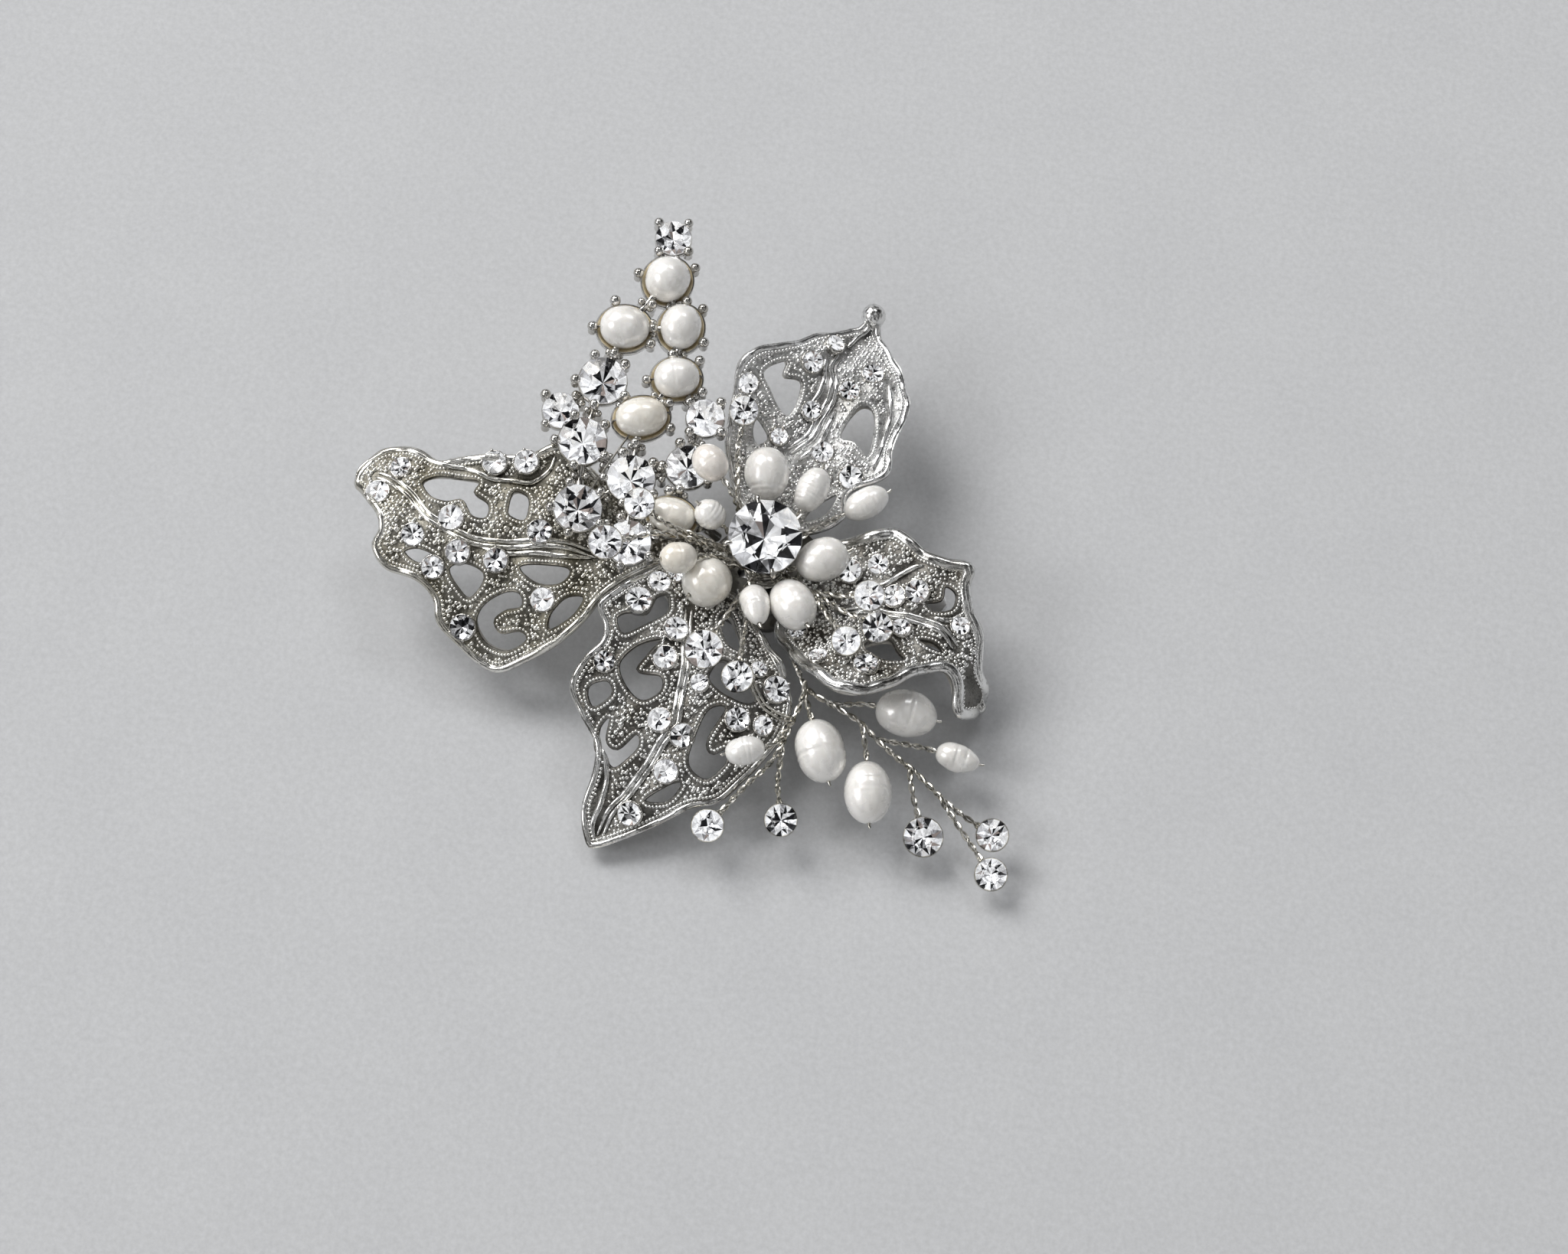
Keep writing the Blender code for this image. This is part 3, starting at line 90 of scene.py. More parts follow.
# A leaf starts at its base and points along its heading. Its middle line follows rib, and its
# sides lift by left and right, all three as (along, height). From curl's first number it bends
# down with the second one as radius. The rest are (along, across) points, with a radius for the
# stones and the knob. The first of the ribs is the main one. No grain lies past the bare point.
# rim is the radius of the rolled rim.
LEAVES = {
    "leaf_left": dict(
        base=(-5.0, 0.5),
        metals=("warm_ground", "warm_silver", "warm_rim"),
        heading=173.0,
        rib=((0, 7.5), (8, 10), (20, 13.5), (32, 14.5), (42, 14), (49, 12)),
        left=((0, 0), (15, -1.5), (30, -4), (45, -4)),
        right=((0, 0), (15, 1), (30, 1.5), (45, 0)),
        rim=0.58,
        outline=(
            (1, -2), (8, -3), (14, -5), (20, -9), (23.5, -10.5), (27, -8.5), (31, -8),
            (35, -7.5), (38, -6.5), (41, -8), (44, -8.5), (47, -7.5), (49, -4), (47.5, -2),
            (45, 1), (44.5, 3), (45, 5), (43, 7.5), (39, 8.5), (36.5, 10.5), (35.5, 13),
            (32, 15.5), (28, 17.5), (24, 16.5), (20, 14.5), (17, 11.5), (14, 7), (8, 2.5), (1, 2.5),
        ),
        openings=(
            ((40, -3.5), (38.5, -1.5), (36.5, -1), (34.5, -1.5), (33, 0.5), (31, 0.5), (31, -1.5),
             (33, -2.7), (32.5, -4.2), (35, -4.5), (38.5, -4.5)),
            ((28.5, -1), (28, -3.5), (26, -3), (26, 0), (28, 0)),
            ((41, 5.5), (39, 5), (36.5, 6), (39, 6.7)),
            ((35, 7), (33, 6.2), (30.5, 7), (30.5, 8.5), (32, 10), (33.5, 9)),
            ((26, 6), (23, 5.3), (19.5, 5.5), (20.5, 7.5), (23.5, 7.7)),
            ((27.5, 9), (25.5, 9), (25, 10.5), (27, 11), (28.5, 12.2), (27.5, 13.5), (25, 13.2),
             (24, 14.2), (26, 15.3), (29, 14.7), (30.8, 12.5), (30, 10.5)),
            ((21, 13), (21.3, 11.2), (19.5, 9), (17.3, 8.7), (18.3, 11)),
        ),
        stones=(
            (43, -5.5, 1.3), (45.5, -2, 1.5), (35.5, 1, 1.6), (40, 3.5, 1.4), (34, 5, 1.5),
            (29, 5.5, 1.5), (37, 7, 1.4), (32.5, 13, 1.6), (22.5, 9.5, 1.5), (24, 1.5, 1.5),
            (31, -7, 1.5), (27, -7.5, 1.5),
        ),
        ribs=(
            ((16.5, 3), (21.5, 2.5), (25, 3), (28.5, 3.5), (32, 3.5), (34, 3), (36.5, 2),
             (38.5, 1), (40, -0.5), (41.5, -2), (44.5, -4), (46, -4.5)),
            ((17, 3.5), (20.5, 4), (23.5, 4), (27, 4.5), (29.5, 4.5), (31.5, 4)),
            ((49, -4.5), (48, -6.5), (45, -8), (43, -8), (41, -7.5), (39, -6.5), (37, -6), (35, -6),
             (33, -5.5), (31.5, -5), (29.5, -5), (27, -5), (25.5, -5.5), (24, -7), (23.5, -9)),
        ),
    ),
    "leaf_lower": dict(
        base=(-2.0, -4.5),
        metals=("cast_ground", "bright_silver", "rubbed_rim"),
        heading=243.0,
        rib=((0, 8), (8, 11), (18, 10.5), (26, 7.5), (33, 3.5), (38, 1.2)),
        left=((0, 0), (10, -2.5), (25, -2.5), (38, 0)),
        right=((0, 3), (10, 1.5), (25, 1), (38, 1)),
        rim=0.45,
        outline=(
            (1, -3), (1.5, -7), (1.5, -10.5), (5, -12.5), (9, -14.5), (12, -15.5), (14, -13.5),
            (16, -13), (19, -14), (22.5, -14), (25, -11), (27, -8), (30, -7), (34, -6.5),
            (37, -4.5), (37.5, -3), (35, 0), (31.5, 3.5), (28.5, 6), (26, 9), (21, 11), (17, 12),
            (13, 12), (9.5, 10.5), (7, 7.5), (4, 3), (1, -1),
        ),
        openings=(
            ((7.5, -9.7), (6.3, -8.6), (8.5, -7.5), (11, -9), (13.8, -11), (12.5, -12.7),
             (11, -11.8), (10, -9.7)),
            ((12, -6.5), (14.5, -9), (17.5, -9.7), (19.5, -7.5), (20, -5), (18, -3.4), (16.2, -4.3),
             (17, -7.3), (14.5, -7)),
            ((21, -11.7), (19.8, -10), (21, -8.8), (23.3, -10.2), (22.3, -11.7)),
            ((25, -8.5), (23.4, -7.8), (26, -7), (26.3, -5.3), (23.7, -3.9), (25, -2.9),
             (28.2, -4.5), (28, -6.2), (27, -7.7)),
            ((17, 3), (16, 4.8), (20.5, 4.5), (21.7, 5.7), (20.3, 7), (22, 7.7), (24.7, 6.3),
             (24, 3.5), (20, 2.8)),
            ((30, 0.5), (27, 2.7), (26.5, 4), (29, 3.2)),
            ((13.5, 1), (10.8, 1.5), (11.3, 4.5), (13, 7.5), (14.5, 6), (14.5, 2.5)),
            ((6, -1.5), (8.5, 1.2), (8.5, 3.2), (6, 1.2), (4.2, -1.1)),
        ),
        stones=(
            (9, -11.5, 1.6), (5.5, -10.5, 1.4), (3.5, -9.5, 1.1), (10, -5.5, 1.5), (14, -5, 1.5),
            (18, -11.5, 1.3), (15, 0.5, 1.1), (21, -2, 1.5), (21.5, 1.5, 1.5), (26, 1.5, 1.5),
            (32, -0.5, 1.5), (16.5, 6.5, 1.5), (15.5, 9.5, 1.2), (9.5, 6, 1.0), (10.5, 9, 1.7),
        ),
        ribs=(
            ((6.5, -5.5), (11, -3.5), (14, -2), (17.5, -1), (20.5, 0), (23.5, -0.5), (27, -1),
             (30.5, -2), (33, -3), (36, -3)),
            ((0, -2), (2, 0), (4, 2.5), (6, 5), (7, 7.5), (8.5, 9.5)),
            ((27, -7), (28, -6), (30, -5), (32.5, -4.5), (35, -4.5), (36.5, -3.5)),
        ),
    ),
    "leaf_upper": dict(
        base=(2.5, 4.0),
        metals=("pale_ground", "pale_silver", "pale_rim"),
        heading=62.0,
        rib=((0, 8.5), (10, 12), (20, 13), (27, 11.3), (30.5, 10.5), (34, 12.5)),
        left=((0, 0), (10, 2), (22, 3), (34, 1)),
        right=((0, 0), (10, 0), (22, -1.5), (34, -1)),
        rim=0.45,
        outline=(
            (0, 3), (2, 8), (5.5, 11.5), (8.5, 13), (12, 14), (15.5, 15), (18.5, 14), (22, 11),
            (26, 9), (29, 6.5), (31.5, 5), (33.5, 4.8), (33.8, 3.2), (31.5, 2.5), (29, -0.5),
            (26, -4), (22, -6.5), (18, -7), (15.5, -7.5), (13, -8.5), (11, -7.5), (8, -5),
            (5.5, -6), (3, -4.5), (1, -1.5),
        ),
        openings=(
            ((16.5, 12), (19.5, 10.2), (17.5, 9.5), (18.3, 7.3), (14.5, 6.4), (13.2, 7.2),
             (15, 10.5)),
            ((19.5, -1), (19.8, -2.5), (17, -4.2), (13.6, -5), (14.3, -2.5), (14.2, -0.6),
             (17, -0.4)),
            ((11, 10), (9.7, 7.6), (8.3, 8.5), (9.3, 9.8)),
            ((6.7, -3), (7.4, -3.9), (4.7, -3.8), (2.9, -1.6), (4, -1.4)),
        ),
        stones=(
            (21, 7.5, 1.4), (25.5, 6.5, 1.2), (24.5, 0, 1.4), (20.5, 1.5, 1.3), (15.5, 4.5, 1.2),
            (11.5, 0.5, 1.4), (10, -4.5, 1.5), (14, 13, 1.3), (10.5, 6.5, 1.1),
        ),
        ribs=(
            ((9.5, 4.5), (12.5, 3), (15.5, 3), (18.5, 3), (21, 4), (23, 5), (25, 5)),
            ((9, 2.9), (12, 1.5), (15.5, 1.6), (17.5, 1.8)),
            ((16.5, 4.9), (18.5, 4.7), (21, 5.4), (23.5, 6.4)),
            ((27, 5), (29, 4.8), (31, 4.2), (33, 3.9)),
            ((12, -6.5), (15.5, -6), (19, -5.2), (22, -4), (24.5, -2.3)),
        ),
        knob=(33.0, 4.1, 1.65),
    ),
    "leaf_right": dict(
        base=(4.5, -2.5),
        metals=("cast_ground", "bright_silver", "rubbed_rim"),
        heading=-22.0,
        rib=((0, 8.5), (8, 10), (16, 11), (24, 10), (32, 8)),
        left=((0, 0), (8, 2.5), (20, 2), (32, 0)),
        right=((0, 0), (8, 2.5), (20, 2), (32, 0)),
        curl=(20.5, 6.0),
        rim=0.85,
        bare=(24.5, -3.0),
        knob=(30.0, -5.2, 0.95),
        outline=(
            (0, 3), (3, 6.5), (6, 8), (9, 9.5), (11.5, 9), (14, 8), (17, 8), (20, 8.5), (20.5, 6),
            (22, 3.5), (24.5, 1), (26, -2.5), (29, -3.5), (31, -4.5), (28, -8), (26, -9.5),
            (24, -7), (22, -5.7), (20, -7), (18, -9.5), (16, -12.5), (13, -15), (10, -15),
            (6, -12.7), (2.5, -10), (0, -7),
        ),
        openings=(
            ((18, 5), (19.6, 4.6), (19.9, 2.6), (18, 1.4), (16.5, 2), (18.2, 3.2)),
            ((11.5, -7), (14, -5), (15.5, -5.8), (17, -7.3), (14, -8.6)),
            ((17.5, -3.5), (19.5, -2.9), (21, -3.5), (19, -4.2)),
        ),
        stones=(
            (12.5, 1.5, 1.4), (9, 5, 1.3), (15, 3, 1.5), (15, -3, 1.2), (7, -11, 1.2),
            (13, -10.5, 1.5), (21.5, 1, 1.2), (6, 3, 1.5), (3, -7.5, 1.1),
        ),
        ribs=(
            ((7, -2.5), (10, -1.5), (13, -1), (16.5, -0.5), (18.5, -0.5), (20.5, -1), (22, -2)),
            ((8, 2), (10.5, 2.5), (12, 4.5), (13.5, 6), (14.5, 6.5)),
            ((18, 0.5), (20, 1), (21.5, 3)),
            ((9.5, 9.5), (12, 8.5), (14, 7.5), (16.5, 7.5)),
        ),
    ),
}

CLUSTER_LINKS = (
    ("crystal_1", "pearl_1"), ("pearl_1", "pearl_2"), ("pearl_1", "pearl_3"),
    ("pearl_2", "pearl_3"), ("pearl_3", "pearl_4"), ("pearl_2", "crystal_2"),
    ("crystal_2", "pearl_5"), ("crystal_2", "crystal_4"), ("crystal_2", "crystal_3"),
    ("crystal_3", "crystal_4"), ("pearl_4", "pearl_5"), ("pearl_4", "crystal_9"),
    ("pearl_5", "crystal_5"), ("crystal_4", "crystal_5"), ("crystal_9", "crystal_6"),
    ("crystal_5", "crystal_6"), ("crystal_4", "crystal_7"), ("crystal_5", "crystal_7"),
    ("crystal_5", "crystal_8"), ("crystal_7", "crystal_8"), ("crystal_6", "pearl_6"),
    ("crystal_8", "pearl_6"),
)
TANG = ((-8.8, 2.7, 14.4), (-8.0, 4.2, 11.5), (-6.5, 5.2, 6.6))

# The points that each wired crystal's stem passes on its way from the hub.
STEM_ROUTES = {
    "wired_crystal_1": ((-8.0, 0.4, 15.5), (-12.5, 1.0, 18.6)),
    "wired_crystal_2": ((-8.0, -0.2, 15.5), (-13.0, -0.2, 18.4)),
    "wired_crystal_3": ((-3.3, 6.0, 13.5), (-3.6, 12.0, 16.0)),
    "wired_crystal_4": ((-2.5, -5.0, 12.2), (-5.0, -9.5, 13.0)),
    "wired_crystal_5": ((-2.0, -5.0, 11.6), (-2.6, -11.0, 12.4)),
    "wired_crystal_6": ((5.3, -5.1, 12.0), (8.0, -9.5, 13.4)),
    "wired_crystal_7": ((5.3, -5.1, 12.0), (9.5, -8.4, 13.2)),
    "wired_crystal_8": ((5.3, -5.1, 12.0), (9.0, -6.6, 13.4)),
}
SPRAY_TRUNK = (
    (1.5, -3.2, 7.2), (2.2, -6.0, 7.0), (2.8, -10.0, 7.0), (3.9, -14.0, 8.4), (5.5, -18.0, 9.4),
    (8.4, -20.0, 9.3), (11.8, -22.2, 9.0), (14.1, -24.5, 8.5), (16.9, -26.8, 7.5),
    (18.9, -28.2, 7.0), (22.0, -31.2, 6.0), (24.8, -33.4, 5.2), (27.0, -34.8, 4.4),
)
SPRAY_BRANCHES = {
    "spray_crystal_1": (
        (5.2, -17.0, 9.6), (4.7, -19.5, 9.6), (3.2, -22.8, 9.0), (1.0, -27.1, 8.0),
        (-2.2, -30.0, 7.0), (-5.6, -33.4, 5.4),
    ),
    "spray_crystal_2": ((2.4, -24.4, 8.6), (2.0, -27.0, 8.2), (1.6, -30.0, 7.2), (1.9, -32.8, 5.4)),
    "spray_crystal_3": ((18.3, -27.8, 7.2), (18.6, -30.5, 6.0), (19.4, -34.0, 4.2)),
    "spray_crystal_5": (
        (22.0, -31.2, 6.0), (24.0, -34.3, 5.2), (26.4, -37.8, 4.2), (27.6, -39.6, 3.4)
    ),
}
# The wire that binds the spray to the lower leaf's lobe, as (along, across) points of that leaf.
LOBE_WRAP = ((11.0, 5.6), (12.2, 7.0), (13.0, 9.0), (13.0, 11.0), (12.4, 12.4))
SPRAY_STARTS = {
    "spray_pearl_1": (5.0, -18.5, 9.6),
    "spray_pearl_2": (12.4, -23.0, 8.9),
    "spray_pearl_3": (8.4, -20.0, 9.3),
    "spray_pearl_4": (14.1, -24.5, 8.5),
    "spray_pearl_5": (3.4, -22.4, 9.1),
}

# ---------------------------------------------------------------- curves


def turned_out(points):
    """Points of the flower's own frame, in the clip's frame."""
    return np.asarray(points, float) @ TURN.T


def unit(vectors):
    vectors = np.asarray(vectors, float)
    return vectors / np.linalg.norm(vectors, axis=-1, keepdims=True)


def smooth(points, steps, closed=False):
    """The Catmull-Rom curve through the points, with so many steps to each span."""
    p = np.asarray(points, float)
    if closed:
        spans = (np.roll(p, 1, 0), p, np.roll(p, -1, 0), np.roll(p, -2, 0))
    else:
        ends = np.vstack([2 * p[0] - p[1], p, 2 * p[-1] - p[-2]])
        spans = (ends[:-3], ends[1:-2], ends[2:-1], ends[3:])
    a, b, c, d = (span[:, None, :] for span in spans)
    t = (np.arange(steps) / steps)[None, :, None]
    curve = 2 * b + (c - a) * t + (2 * a - 5 * b + 4 * c - d) * t**2
    curve = 0.5 * (curve + (3 * b - a - 3 * c + d) * t**3)
    curve = curve.reshape(-1, p.shape[1])
    return curve if closed else np.vstack([curve, p[-1:]])


def even(path, spacing, closed=False):
    """The path with a point at about every spacing along it."""
    loop = np.vstack([path, path[:1]]) if closed else np.asarray(path)
    run = np.concatenate([[0.0], np.cumsum(np.linalg.norm(np.diff(loop, axis=0), axis=1))])
    at = np.linspace(0, run[-1], max(3, round(run[-1] / spacing)) + 1)
    if closed:
        at = at[:-1]
    return np.stack([np.interp(at, run, loop[:, k]) for k in range(loop.shape[1])], axis=1)


def hermite(t, start, start_slope, end, end_slope):
    """The cubic from start to end, at t from 0 to 1, with the given slopes at its ends."""
    first = (2 * t**3 - 3 * t**2 + 1) * start + (t**3 - 2 * t**2 + t) * start_slope
    last = (3 * t**2 - 2 * t**3) * end + (t**3 - t**2) * end_slope
    return first + last


def interpolate(knots, x):
    """Height at x on a smooth curve through the (x, height) knots, flat outside them."""
    xs, ys = np.array(knots, float).T
    last = len(xs) - 1
    before = np.maximum(np.arange(len(xs)) - 1, 0)
    after = np.minimum(np.arange(len(xs)) + 1, last)
    slope = (ys[after] - ys[before]) / (xs[after] - xs[before])
    x = np.clip(x, xs[0], xs[-1])
    i = np.clip(np.searchsorted(xs, x, side="right") - 1, 0, last - 1)
    step = xs[i + 1] - xs[i]
    return hermite((x - xs[i]) / step, ys[i], slope[i] * step, ys[i + 1], slope[i + 1] * step)


def inside(points, loop):
    """A mask of the plan points that lie inside the closed loop."""
    x, y = points[:, 0, None], points[:, 1, None]
    a, b = loop, np.roll(loop, -1, 0)
    rise = np.where(b[:, 1] == a[:, 1], 1e-9, b[:, 1] - a[:, 1])
    crossed = (a[:, 1] > y) != (b[:, 1] > y)
    left = x < a[:, 0] + (y - a[:, 1]) * (b[:, 0] - a[:, 0]) / rise
    return (crossed & left).sum(axis=1) % 2 == 1


def distance(points, path, closed=False):
    """The distance of each plan point from the path."""
    a = path if closed else path[:-1]
    b = np.roll(path, -1, 0) if closed else path[1:]
    span = b - a
    offset = points[:, None, :] - a
    t = np.clip((offset * span).sum(-1) / (span**2).sum(-1), 0, 1)
    return np.linalg.norm(offset - t[..., None] * span, axis=-1).min(axis=1)


def shifted(loop, offset):
    """The closed plan loop moved by offset towards its own inside, where positive."""
    area = 0.5 * np.sum(loop[:, 0] * np.roll(loop[:, 1], -1) - np.roll(loop[:, 0], -1) * loop[:, 1])
    along = unit(np.roll(loop, -1, 0) - np.roll(loop, 1, 0))
    inward = np.stack([-along[:, 1], along[:, 0]], axis=1) * np.sign(area)
    return loop + inward * offset


# ---------------------------------------------------------------- forms


class Shape:
    """Points and faces of many small forms, gathered into one mesh, in millimetres."""

    def __init__(self):
        self.points = []
        self.faces = []
        self.slots = []
        self.count = 0

    def add(self, points, groups, slots=0):
        """Each group is an array of faces that have the same number of corners.

        slots is one material slot for them all, or an entry for each group.
        """
        if isinstance(slots, int):
            slots = [slots] * len(groups)
        for group, slot in zip(groups, slots):
            self.faces.append(np.asarray(group) + self.count)
            self.slots.append(np.broadcast_to(slot, len(group)))
        self.points.append(np.asarray(points, float).reshape(-1, 3))
        self.count += len(self.points[-1])


def add_object(name, data):
    thing = bpy.data.objects.new(name, data)
    bpy.context.scene.collection.objects.link(thing)
    return thing


def make_piece(name, shape, materials, replaces=(), sharp=None, rides=True):
    """The shape as a mesh object, with its materials given by name. Unless rides is False, it
    rides on the flower. Edges over sharp degrees stay sharp."""
    mesh = bpy.data.meshes.new(name)
    points = np.vstack(shape.points) * MM
    corners = np.concatenate([group.ravel() for group in shape.faces])
    sizes = np.concatenate([np.full(len(group), group.shape[1]) for group in shape.faces])
    starts = np.concatenate([[0], np.cumsum(sizes)[:-1]])
    mesh.vertices.add(len(points))
    mesh.vertices.foreach_set("co", points.astype(np.float32).ravel())
    mesh.loops.add(len(corners))
    mesh.loops.foreach_set("vertex_index", corners.astype(np.int32))
    mesh.polygons.add(len(sizes))
    mesh.polygons.foreach_set("loop_start", starts.astype(np.int32))
    mesh.polygons.foreach_set("material_index", np.concatenate(shape.slots).astype(np.int32))
    mesh.update(calc_edges=True)
    mesh.validate()
    mesh.shade_smooth()
    if sharp is not None:
        mesh.set_sharp_from_angle(angle=math.radians(sharp))
    for material in materials:
        mesh.materials.append(MATERIALS[material])
    piece = add_object(name, mesh)
    if rides:
        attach(piece, "flower")
    if replaces:
        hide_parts(*replaces)
    return piece


def bases(normals):
    """Two unit vectors square to each normal, and the unit normal."""
    normals = unit(normals)
    helper = np.where(np.abs(normals[:, 2:]) < 0.9, (0.0, 0.0, 1.0), (1.0, 0.0, 0.0))
    side = unit(np.cross(helper, normals))
    return side, np.cross(normals, side), normals


def axes_of(normal):
    """The same three vectors for one normal."""
    return [vectors[0] for vectors in bases(np.array([normal]))]


def around(angle, first, second):
    """The vector at the angle from the first one towards the second."""
    angle = np.asarray(angle)[..., None]
    return np.cos(angle) * first + np.sin(angle) * second


def circle(sides):
    """The angles of evenly spaced points round a circle."""
    return math.tau * np.arange(sides) / sides


def lathe(profile, sides, ring=False):
    """The (radius, height) profile turned about Z, as points and face groups.

    A ring's profile is a closed loop clear of the axis. Any other starts and ends on the axis.
    Profiles run downwards on the outside.
    """
    points, rows = [], []
    for radius, height in profile:
        first = len(points)
        if radius == 0:
            points.append((0.0, 0.0, height))
            rows.append(np.full(sides, first))
        else:
            turn = ((radius * math.cos(a), radius * math.sin(a), height) for a in circle(sides))
            points.extend(turn)
            rows.append(first + np.arange(sides))
    pairs = list(zip(rows, rows[1:]))
    if ring:
        pairs.append((rows[-1], rows[0]))
    quads, triangles = [], []
    for upper, lower in pairs:
        upper_next, lower_next = np.roll(upper, -1), np.roll(lower, -1)
        if upper[0] == upper[1]:
            triangles.append(np.stack([upper, lower, lower_next], axis=1))
        elif lower[0] == lower[1]:
            triangles.append(np.stack([upper, lower, upper_next], axis=1))
        else:
            quads.append(np.stack([upper, lower, lower_next, upper_next], axis=1))
    groups = [np.vstack(found) for found in (quads, triangles) if found]
    return np.array(points), groups


BEAD = lathe(((0, 1.0), (0.62, 0.8), (0.97, 0.25), (1.0, -0.3), (0, -0.3)), 8)
BALL_BENDS = math.pi * np.arange(1, 8) / 8
BALL = lathe([(0, 1.0), *((math.sin(a), math.cos(a)) for a in BALL_BENDS), (0, -1.0)], 14)


def scatter(shape, template, centres, normals, sizes, slot=0):
    """A copy of the template at each centre, standing along its normal."""
    centres = np.asarray(centres, float).reshape(-1, 3)
    if not len(centres):
        return
    side, other, normal = bases(np.broadcast_to(normals, centres.shape))
    points, groups = template
    sizes = np.broadcast_to(sizes, len(centres))[:, None, None]
    axes = (side[:, None], other[:, None], normal[:, None])
    local = sum(axis * points[None, :, k, None] for k, axis in enumerate(axes))
    placed = centres[:, None] + sizes * local
    first = (np.arange(len(centres)) * len(points))[:, None, None]
    copies = [(group[None] + first).reshape(-1, group.shape[1]) for group in groups]
    shape.add(placed, copies, slot)


def put(shape, template, place, slots=0):
    """The template placed by (origin, x axis, y axis, z axis)."""
    origin, *axes = place
    points, groups = template
    shape.add(origin + points @ np.array(axes), groups, slots)


def transported(direction):
    """A vector square to each direction, carried along them without twist."""
    start = bases(direction[:1])[0][0]
    carried = []
    for d in direction:
        start = start - d * start.dot(d)
        start = start / np.linalg.norm(start)
        carried.append(start)
    return np.array(carried)


def add_tube(shape, points, closed=False, slot=0):
    """A skin over rows of points, with flat ends unless it is closed."""
    count, sides = points.shape[:2]
    rows = np.arange(count * sides).reshape(count, sides)
    first, second = (rows, np.roll(rows, -1, 0)) if closed else (rows[:-1], rows[1:])
    turned = (first, second, np.roll(second, -1, 1), np.roll(first, -1, 1))
    groups = [np.stack(turned, axis=-1).reshape(-1, 4)]
    if not closed:
        groups.append(np.stack([rows[0], rows[-1][::-1]]))
    shape.add(points, groups, slot)


def sweep(shape, path, radii, sides=8, normals=None, closed=False, squash=1.0, slot=0):
    """A tube along the path. Its section is squashed along the normals, where they are given."""
    path = np.asarray(path, float)
    radii = np.broadcast_to(radii, len(path))[:, None, None]
    if closed:
        direction = unit(np.roll(path, -1, 0) - np.roll(path, 1, 0))
    else:
        direction = unit(np.gradient(path, axis=0))
    if normals is None:
        normals = transported(direction)
    side = unit(np.cross(direction, normals))
    up = squash * np.cross(side, direction)
    section = around(circle(sides)[None], side[:, None, :], up[:, None, :])
    add_tube(shape, path[:, None, :] + radii * section, closed, slot)


def tapered(count, full):
    """Radii for a tube that thins towards both ends."""
    thin, share = 0.35, 0.2
    t = np.linspace(0, 1, count)
    rise = np.clip(np.minimum(t, 1 - t) / share, 0, 1)
    return full * (thin + (1 - thin) * np.sin(rise * math.pi / 2))


def twist(shape, path, strand=0.185, reach=0.24, phase=0.0):
    """Two strands of wire wound round each other along the path."""
    step = TWIST_PITCH / 12
    path = even(smooth(path, 12), step)
    direction = unit(np.gradient(path, axis=0))
    side = transported(direction)
    up = np.cross(direction, side)
    angle = phase + math.tau * step / TWIST_PITCH * np.arange(len(path))
    for start in (0.0, math.pi):
        sweep(shape, path + reach * around(angle + start, side, up), strand, 7)


def painted_reflection_slot(painted_dark_fraction):
    """The slot of a back facet, each slot a painted reflection: 1 bright with a painted glow, 2
    pale, 3 dark or 4 warm.
    """
    pick = RANDOM.random()
    if pick < painted_dark_fraction:
        return 3
    if pick < painted_dark_fraction + PAINTED_WARM_FACETS:
        return 4
    return 2 if pick > 1 - PAINTED_PALE_FACETS else 1


def brilliant(radius, painted_dark_fraction, depth):
    """A round cut stone: points, face groups and the slot of each face, 0 for the clear crown."""
    table, crown, middle, girdle = 0.56 * radius, 0.34 * radius, 0.8 * radius, 0.04 * radius
    low, corner = 0.52 * radius, 0.44 * radius

    def at(reach, sixteenths, height):
        angle = math.tau * sixteenths / 16
        return (reach * math.cos(angle), reach * math.sin(angle), height)

    def back_height(reach):
        return -girdle - (depth - girdle) * (1 - reach / radius) ** 0.85

    share = (middle * math.cos(math.tau / 16) - table) / (radius - table)
    points = [at(table, 2 * k, crown) for k in range(8)]
    points += [at(middle, 2 * k + 1, crown + share * (girdle - crown)) for k in range(8)]
    points += [at(radius, k, girdle) for k in range(16)]
    points += [at(radius, k, -girdle) for k in range(16)]
    points += [at(low, 2 * k + 1, back_height(low)) for k in range(8)]
    points += [at(corner, 2 * k, back_height(corner)) for k in range(8)]
    points.append((0.0, 0.0, -depth))
    mids, upper, under, lows, corners, tip = 8, 16, 32, 48, 56, 64
    crown_threes, crown_fours, back, back_slots = [], [], [], []
    for k in range(8):
        after, before = (k + 1) % 8, (k - 1) % 8
        here, odd, onward = 2 * k, 2 * k + 1, (2 * k + 2) % 16
        crown_fours.append((k, mids + before, upper + here, mids + k))
        crown_threes += [
            (k, mids + k, after),
            (mids + k, upper + here, upper + odd),
            (mids + k, upper + odd, upper + onward),
        ]
        back += [
            (tip, lows + k, corners + k),
            (tip, corners + after, lows + k),
            (under + here, lows + before, corners + k),
            (under + here, corners + k, lows + k),
            (under + here, lows + k, under + odd),
            (under + odd, lows + k, under + onward),
        ]
        # Each back facet gets a painted reflection; those near the tip are more often painted dark.
        back_slots += [painted_reflection_slot(part * painted_dark_fraction) for part in (1.1, 1.1, 1.0, 1.0, 0.5, 0.5)]
    for k in range(16):
        n = (k + 1) % 16
        crown_fours.append((upper + k, under + k, under + n, upper + n))
    groups = [np.array([range(8)]), *map(np.array, (crown_fours, crown_threes, back))]
    return (np.array(points), groups), (0, 0, 0, back_slots)


def add_stone(shape, centre, normal, radius, painted_dark_bounds, depth_share=2 * PAVILION_SHARE):
    """A cut stone turned at random about its normal. Its share of back facets painted with a dark
    reflection lies within the given bounds.
    """
    stone, slots = brilliant(radius, RANDOM.uniform(*painted_dark_bounds), depth_share * radius)
    side, other, up = axes_of(normal)
    across = around(RANDOM.random() * math.tau, side, other)
    put(shape, stone, (centre, across, np.cross(up, across), up), slots)


# ---------------------------------------------------------------- CAD nodes, read back


